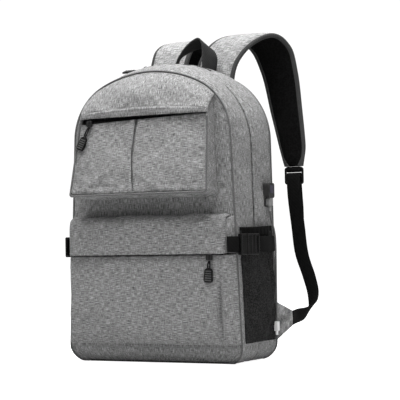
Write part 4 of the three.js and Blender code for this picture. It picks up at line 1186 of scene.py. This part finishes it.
def pull_tab(name, matrix, at, body, node):
    """A cord loop through the slider and a moulded tag with raised ribs."""
    pivot = matrix @ Matrix.Translation((0, -1.2, -SLIDER_LENGTH / 2 - 1.8))
    for angle, axis in zip(at["turn"], "XYZ"):
        pivot = pivot @ Matrix.Rotation(angle, 4, axis)
    top, end = -at["neck"] - 0.4, -at["neck"] - TAG_LENGTH
    half, neck = TAG_HALF - 0.2, 2.6
    right = [(neck, top), (half - 2.4, top - 1.6), (half - 0.9, top - 4.0), (half, end + 4.5),
             (half - 0.7, end + 1.6), (half - 2.6, end)]
    outline = [(-x, z) for x, z in right] + right[::-1]
    tag = link(f"{name}_tag", mesh_of(name, rounded_plate(outline, TAG_THICK, 0.7), TO_METRES), PULL)

    ribs = bmesh.new()
    levels = np.linspace(top - 5.2, end + 3.2, 5)
    tall = 0.95
    for number, z in enumerate(levels):
        wide = 4.6 + 1.2 * number / len(levels)
        corners = [(-wide, z - tall), (wide, z - tall), (wide, z + tall), (-wide, z + tall)]
        rib = rounded_plate(corners, 3.2, 0.4)
        part = mesh_of("rib", rib, Matrix.Identity(4))
        ribs.from_mesh(part)
        bpy.data.meshes.remove(part)
    raised = link(f"{name}_ribs", mesh_of(f"{name}_ribs", ribs, TO_METRES), PULL_RIB)

    in_metres = pivot.copy()
    in_metres.translation = pivot.translation * MM
    for piece in (tag, raised):
        piece.modifiers.new("WeightedNormal", "WEIGHTED_NORMAL").keep_sharp = True
        piece.matrix_world = in_metres
    place(tag, body, "dark_trim", node)
    place(raised, body, "dark_trim")

    for number, shift in enumerate((-1.2, 1.2)):
        local = [(shift * 0.5, -0.6, 0.8), (shift, -1.6, -2), (shift * 1.5, -1.9, top / 2),
                 (shift * 1.3, -1.5, top - 0.5)]
        path = [pivot @ Vector(q) for q in curve_through(local, 16)]
        tube(f"{name}_cord_{number}", path, 1.15, PULL, body, "dark_trim")


def build_sliders():
    """The zip sliders, the bridge on each, and their pulls."""
    arc = curve_through([(0, -3.8, 3.7), (0, -5.6, 2.6), (0, -6.3, 0), (0, -5.8, -2.7), (0, -3.8, -3.9)], 20)
    bodies = {"main": "main_zip", "upper_pocket": "upper_zip", "lower_pocket": "lower_zip"}
    for key, (matrix, at) in slider_frames().items():
        rounded_copy(f"{key}_slider", 1.1, SLIDER, "slider_metal", f"{bodies[key]}_slider")
        bridge = [matrix @ Vector(q) for q in arc]
        tube(f"{key}_bridge", bridge, 0.95, SLIDER, f"{bodies[key]}_slider", "slider_metal")
        pull_tab(f"{key}_pull", matrix, at, f"{bodies[key]}_tab", f"{key}_pull_tab")


def build_port():
    """The port's housing and the small rounded window above its socket."""
    rounded_copy("usb_port_housing", 1.2, RUBBER, "port_rubber")
    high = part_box("usb_port_housing")[1]
    half_wide, half_tall, corner = 6.8, 6.0, 2.0
    outline = []
    for k, (sx, sz) in enumerate([(1, 1), (-1, 1), (-1, -1), (1, -1)]):
        for j in range(6):
            turn = (k + j / 5) * math.pi / 2
            outline.append((sx * (half_wide - corner) + corner * math.cos(turn),
                            sz * (half_tall - corner) + corner * math.sin(turn)))
    facing_out = Matrix.Rotation(math.pi / 2, 4, "Z") @ TO_METRES
    lens = link("port_lens", mesh_of("port_lens", rounded_plate(outline, 1.2, 0.4), facing_out), PORT_FACE)
    lens.location = (high.x - 0.2 * MM, PORT["y"] * MM, high.z - 10 * MM)
    place(lens, "bag", "port_rubber")


# ---- shoulder straps, handle, back ---------------------------------------------------------------
# Middle of each shoulder strap and its half width as a vector, from the yoke to the ladder lock.
SHOULDER_ROUTES = {
    "right": [
        ((47, 73.4, 430), (35, 0, 0)), ((48, 74, 456), (35, 0, 0)), ((56, 78, 494), (35, 1, -3)),
        ((78, 88, 523), (36, 3, -3)), ((106, 108, 535), (37, 5, 0)), ((124, 134, 519), (35, 5, 0)),
        ((133, 154, 476), (31, 3, 0)), ((139, 166, 410), (28, 0, 0)), ((147, 170, 350), (23, 0, 0)),
        ((149, 170, 317.5), (16, 0, 0)),
    ],
    "left": [
        ((-42, 73.4, 430), (35, 0, 0)), ((-41, 74, 456), (35, 0, 0)), ((-38, 78, 494), (35, 1, 3)),
        ((-32, 88, 521), (36, 3, 2)), ((-25, 108, 531), (37, 0, 0)), ((-33, 136, 515), (35, 0, 0)),
        ((-52, 156, 474), (32, 0, 0)), ((-84, 168, 406), (28, 0, 0)), ((-104, 170, 350), (23, 0, 0)),
        ((-110, 170, 317.5), (16, 0, 0)),
    ],
}
TAB_X, TAB_Y, TAB_ANGLE, TAB_LENGTH = 156.0, 67.6, math.radians(25), 34.0
PAD_ROW = 17     # points across each face of a padded strap


def padded_section(thickness):
    """Outer face slightly crowned, inner face flatter, with thin sewn edges."""
    def section(share):
        ends = max(min(share / 0.05, (1 - share) / 0.06, 1.0), 0)
        half = thickness * (0.35 + 0.65 * ends ** 0.5) / 2
        across = np.linspace(-1, 1, PAD_ROW)
        outer = [(a * 0.97, 0.8 + (half - 0.8) * (1 - abs(a) ** 5) ** 0.6) for a in across]
        inner = [(a * 0.97, -0.8 - (half - 1.2) * (1 - abs(a) ** 5) ** 0.6) for a in across[::-1]]
        return outer + inner
    return section


def build_shoulder_pad(name, side):
    """The padded strap, with binding tape folded over both edges."""
    stations = SHOULDER_ROUTES[name]
    steps = 150
    centres = curve_through([c for c, _ in stations], steps)
    halves = curve_through([w for _, w in stations], steps)
    wave = np.array([noise.noise(Vector((i / 9.0, side * 3.1, 0.4))) for i in range(steps)])
    centres = centres + np.outer(wave * smoothstep(np.arange(steps), 4, 20), (0, 0.8, 0.8))
    strap = sweep(f"shoulder_pad_{name}", centres, halves, padded_section(11.0), [MELANGE_STRAP, PAD_NET],
                  band=lambda j: 0 if j < PAD_ROW else 1)
    place(strap, "bag", "grey_fabric", f"shoulder_strap_{name}")

    normals = np.cross(halves, np.gradient(centres, axis=0))
    normals /= np.linalg.norm(normals, axis=1, keepdims=True)
    across = halves / np.linalg.norm(halves, axis=1, keepdims=True)
    turns = np.linspace(0, 2 * math.pi, 14, endpoint=False)
    tape = [(math.cos(a), 3.9 * math.copysign(abs(math.sin(a)) ** 0.8, math.sin(a))) for a in turns]
    for number, sign in enumerate((-1, 1)):
        line = centres + sign * (halves - across * 4.4)
        edge = sweep(f"shoulder_binding_{name}_{number}", line, across * 5.6, lambda share: tape, BINDING)
        place(edge, "bag", "dark_trim")
        inner = centres + sign * (halves - across * 8.0) + normals * 4.2
        stitches(f"shoulder_stitching_{name}_{number}", inner[6:-6], normals[6:-6], THREAD_DARK)


def build_strap_webbing(name, side):
    """The ladder lock on its loop, and the webbing from the bottom tab through the lock to its loose end."""
    end_x, end_y, end_z = SHOULDER_ROUTES[name][-1][0]
    centre_z = end_z - 16.0
    bend = 3.4
    rounded_copy(f"strap_adjuster_{name}", 0.9, BUCKLE, "buckle_plastic")

    def at(y, z, half=WEB_HALF):
        return (end_x, end_y + y, centre_z + z), (half, 0, 0)

    round_lock = [at(y, z) for y, z in [(-bend, 15.4), (-bend, 10.5), (-2.2, 7.6), (0, 6.6), (2.2, 7.6),
                                        (bend, 10.5), (bend, 15.4)]]
    loop = ribbon(f"lock_loop_{name}", round_lock, WEB_THICK, 30, WEBBING)
    place(loop, "bag", "webbing", f"adjuster_loop_{name}")

    tip_x = TAB_X + (TAB_LENGTH + 0.8) * math.sin(TAB_ANGLE)
    tip_y = TAB_Y + (TAB_LENGTH + 0.8) * math.cos(TAB_ANGLE)
    low = [
        ((side * tip_x, tip_y, 64), (0, 0, 12)), ((side * 168, 126, 66), (side * 1, 0, 12)),
        ((side * 174, 150, 70), (side * 5, -4, 10.5)), ((side * 177, 172, 82), (side * 9.5, -4.5, 7)),
        ((side * 174, 183, 102), (side * 11.5, -3, 3)), ((side * 166, 186, 130), (side * 12.3, -1, 1)),
    ]

    def toward(share, y, z):
        return (side * 158 * (1 - share) + end_x * share, y, z), (side * WEB_HALF, 0, 0)

    rise = [toward(0.4, 184, 168), toward(0.75, 177, 217), toward(0.95, end_y - 1, 262)]
    turned = [at(y, z, side * WEB_HALF) for y, z in
              [(-bend, -14), (-bend, -2), (-2.4, 3), (0, 4.4), (2.4, 3), (bend, -2), (bend, -14),
               (5.5, -32), (8.5, -52), (9.5, -72)]]
    webbing = ribbon(f"strap_web_{name}", low + rise + turned, WEB_THICK, 260, WEBBING)
    place(webbing, "bag", "webbing", f"strap_webbing_{name}")


def build_strap_tab(name, side):
    """Triangular tab with boxed stitching, in the bottom of the rear seam."""
    thick = 3.0
    outline = [(0, 30), (0, 92), (TAB_LENGTH * 0.5, 84.5), (TAB_LENGTH, 76.5), (TAB_LENGTH + 0.6, 64),
               (TAB_LENGTH, 51.5), (TAB_LENGTH * 0.5, 41)]
    to_middle = TO_METRES @ Matrix.Translation((0, thick / 2, 0))
    mesh = mesh_of(f"lower_tab_{name}", rounded_plate(outline, thick, 0.9), to_middle)
    tab = link(f"lower_tab_{name}", mesh, MELANGE_RAW)
    turn = Matrix.Translation((side * TAB_X * MM, TAB_Y * MM, 0)) \
        @ Matrix.Rotation(math.pi / 2 - TAB_ANGLE * side, 4, "Z")
    tab.matrix_world = turn
    place(tab, "bag", "grey_fabric", f"strap_tab_{name}")
    wide = TAB_LENGTH - 3
    border = [(3, 35), (3, 87), (wide, 74), (wide, 54), (3, 35)]
    cross = [(wide, 54), (TAB_LENGTH - 14, 79), (TAB_LENGTH - 14, 48.5), (wide, 74)]
    for number, lines in enumerate((border, cross)):
        for face, label in ((-1, "in"), (1, "out")):
            corners = [tuple(turn @ Vector((x * MM, face * thick / 2 * MM, z * MM)) / MM) for x, z in lines]
            facing = tuple(turn.to_3x3() @ Vector((0, face, 0)))
            stitches(f"tab_stitching_{name}_{number}_{label}", resample(corners, 1.0), facing, THREAD_DARK,
                     pitch=3.2, length=2.3)


def build_handle():
    """The twisted band of the grab handle, and the patch under its feet."""
    y = (HANDLE_FRONT + HANDLE_BACK) / 2
    half = (HANDLE_BACK - HANDLE_FRONT) / 2
    # Place along the bag's width and height, droop of the rear edge, and twist of the band.
    route = [(-4, 485.4, 0, -8), (2, 499, 0, -9), (16, 513, 3, -8), (34, 522, 5, -5), (47, 523, 6, -1),
             (55, 515, 5, 2), (58, 502, 3, 4), (58, 489, 0, 4), (57, 475.6, 0, 3)]
    stations = [((x, y, z - droop / 2), (twist, math.sqrt(half ** 2 - twist ** 2), -droop))
                for x, z, droop, twist in route]
    handle = ribbon("handle_band", stations, 3.0, 110, HANDLE_CLOTH, 0.08)
    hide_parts("grab_handle")
    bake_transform(handle, "bag", "handle", (0.03, 0.038, 0.482), (0.03, 0.038, 0.508))

    depth = np.linspace(HANDLE_FRONT - 1, HANDLE_BACK + 1, 14)
    x = np.linspace(-18, 70, 40)
    points = np.zeros((len(depth), len(x), 3))
    for i, v in enumerate(depth):
        s = outline_sizes(v)
        z = s["centre"] + np.sqrt((s["radius"] + 4.2) ** 2 - x * x)
        points[i] = np.stack([x, np.full(len(x), v), z], axis=1)
    points = rumple(points, amount=0.6, scale=12, seed=71)
    cloth_sheet("handle_base", points, BINDING, "dark_trim", ["handle_patch"], thickness=1.6)


def cushion(name, node):
    """A foam pad blown up from its CAD block, with sewn channels and a corded edge."""
    inset, cap, voxel = 3.5, 5.0, 0.0042
    channel_pitch, channel_width, channel_depth = 0.05, 0.0035, 0.0028
    low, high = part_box(node)
    centre, size, back = (low + high) / 2, high - low, low.y
    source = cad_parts[node].data.copy()
    obj = link(name, source, [])
    for vertex in source.vertices:
        c = vertex.co
        c.x = centre.x + (c.x - centre.x) * (1 - 2 * inset * MM / size.x)
        c.z = centre.z + (c.z - centre.z) * (1 - 2 * inset * MM / size.z)
        c.y = back + (c.y - back) * 0.75
    modifier = obj.modifiers.new("Remesh", "REMESH")
    modifier.mode = "VOXEL"
    modifier.voxel_size = voxel
    depsgraph = bpy.context.evaluated_depsgraph_get()
    mesh = bpy.data.meshes.new_from_object(obj.evaluated_get(depsgraph))
    obj.modifiers.clear()
    obj.data = mesh
    mesh.materials.clear()
    mesh.materials.append(PAD_NET)
    points = np.array([v.co for v in mesh.vertices], float)
    held = np.flatnonzero(points[:, 1] < back + 0.0012)
    points = simulate(obj, points, held, cap, 14,
                      {"use_pressure": True, "uniform_pressure_force": 4, "shrink_min": -0.02})
    for vertex, c in zip(mesh.vertices, points):
        depth = (c[1] - back) / size.y
        off_channel = (c[2] - centre.z) % channel_pitch - channel_pitch / 2
        channel = math.exp(-(off_channel / channel_width) ** 2)
        c[1] = max(c[1] - channel_depth * channel * max(depth, 0) ** 2, back)
        vertex.co = c
    mesh.polygons.foreach_set("use_smooth", [True] * len(mesh.polygons))
    subdivision = obj.modifiers.new("Subdivision", "SUBSURF")
    subdivision.levels = subdivision.render_levels = 1
    place(obj, "bag", "net", node)

    corner, edge_inset = 18.0, 1.2
    x_half, z_half = size.x / MM / 2 - edge_inset, size.z / MM / 2 - edge_inset
    loop = []
    for k, (sx, sz) in enumerate([(1, 1), (-1, 1), (-1, -1), (1, -1)]):
        for a in np.linspace(0, math.pi / 2, 8):
            angle = a + k * math.pi / 2
            loop.append((centre.x / MM + sx * (x_half - corner) + corner * math.cos(angle), back / MM + 1.6,
                         centre.z / MM + sz * (z_half - corner) + corner * math.sin(angle)))
    loop.append(loop[0])
    tube(f"{name}_edge", resample(loop, 4), 1.5, BINDING, "bag", "dark_trim")


def build_back():
    """Back pads, lumbar pad, and the band that covers the upper ends of the shoulder straps."""
    for name in ("left", "right"):
        cushion(f"back_cushion_{name}", f"back_pad_{name}")
    cushion("lumbar_cushion", "lumbar_pad")
    low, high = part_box("strap_yoke")
    x = np.linspace(low.x, high.x, 60) / MM
    z = np.linspace(low.z - 0.001, high.z + 0.001, 10) / MM
    points = np.zeros((len(z), len(x), 3))
    points[..., 0] = x
    points[..., 1] = high.y / MM + 0.4
    points[..., 2] = z[:, None]
    points = rumple(points, amount=0.5, scale=10, seed=81)
    points = cloth_sheet("yoke_band", points, BINDING, "dark_trim", ["strap_yoke"], thickness=1.8)
    for number, row in enumerate((1, len(z) - 2)):
        stitches(f"yoke_stitching_{number}", points[row], (0, 1, 0), THREAD_GREY)


# ---- camera, floor and lights --------------------------------------------------------------------
def build_camera():
    """The camera stands a little below the middle of the bag, to its front right."""
    yaw, pitch, roll = math.radians(27.0), math.radians(1.49), math.radians(-1.05)
    target, distance = Vector((0.0482, 0.0, 0.249)), 2.281
    forward = Vector((-math.sin(yaw) * math.cos(pitch), math.cos(yaw) * math.cos(pitch), math.sin(pitch)))
    right = Vector((math.cos(yaw), math.sin(yaw), 0))
    up = right.cross(forward)
    x_axis = right * math.cos(roll) + up * math.sin(roll)
    y_axis = up * math.cos(roll) - right * math.sin(roll)
    data = bpy.data.cameras.new("camera")
    data.sensor_width = 36
    data.lens = 126.3
    data.shift_x = 0.0085
    data.shift_y = 0.017
    camera = bpy.data.objects.new("camera", data)
    bpy.context.scene.collection.objects.link(camera)
    rotation = Matrix((x_axis, y_axis, -forward)).transposed().to_4x4()
    camera.matrix_world = Matrix.Translation(target - forward * distance) @ rotation
    bpy.context.scene.camera = camera


def build_floor():
    """A plain pale floor, which shows white to the camera."""
    bpy.ops.mesh.primitive_plane_add(size=40, location=(0, 0, -0.0006))
    floor = bpy.context.object
    floor.name = "floor"
    pale = Shader("floor_pale", 0.9, Base_Color=(0.8, 0.8, 0.8, 1), Emission_Color=(1, 1, 1, 1))
    seen = pale.add("LightPath")
    pale.tree.links.new(pale.math("MULTIPLY", seen, 0.95), pale.surface.inputs["Emission Strength"])
    floor.data.materials.append(pale.material)


def build_studio():
    """White surroundings for the camera, dimmer as light, and four soft lamps."""
    world = bpy.data.worlds.new("studio")
    world.use_nodes = True
    nodes, links = world.node_tree.nodes, world.node_tree.links
    background = nodes["Background"]
    background.inputs["Color"].default_value = (1, 1, 1, 1)
    seen = nodes.new("ShaderNodeLightPath")
    strength = nodes.new("ShaderNodeMapRange")
    strength.inputs["To Min"].default_value = 0.22
    strength.inputs["To Max"].default_value = 1.05
    links.new(seen.outputs["Is Camera Ray"], strength.inputs["Value"])
    links.new(strength.outputs["Result"], background.inputs["Strength"])
    bpy.context.scene.world = world

    for name, location, target, size, power in [
        ("key_above", (0.05, -0.33, 1.4), (0, 0, 0.3), 0.9, 29.0),
        ("front_left", (-1.8, -2.2, 1.5), (0, 0, 0.25), 1.4, 3.5),
        ("right", (2.2, -0.9, 1.2), (0, 0, 0.3), 1.4, 12.0),
        ("rear", (0.6, 2.2, 1.6), (0, 0, 0.3), 1.4, 10.0),
    ]:
        data = bpy.data.lights.new(name, "AREA")
        data.size = size
        data.energy = power
        light = bpy.data.objects.new(name, data)
        bpy.context.scene.collection.objects.link(light)
        light.location = location
        direction = Vector(target) - Vector(location)
        light.rotation_euler = direction.to_track_quat("-Z", "Y").to_euler()
    bpy.context.scene.view_settings.view_transform = "Standard"


build_camera()
build_lead()
build_panels()
build_gussets()
build_cording()
build_main_zip()
build_base()
build_upper_pocket()
build_lower_pocket()
for side_name, sign in (("left", -1), ("right", 1)):
    build_side_pocket(side_name, sign)
    build_side_strap(side_name, sign)
build_sliders()
build_port()
for side_name, sign in (("left", -1), ("right", 1)):
    build_shoulder_pad(side_name, sign)
    build_strap_webbing(side_name, sign)
    build_strap_tab(side_name, sign)
build_handle()
build_back()
build_floor()
build_studio()
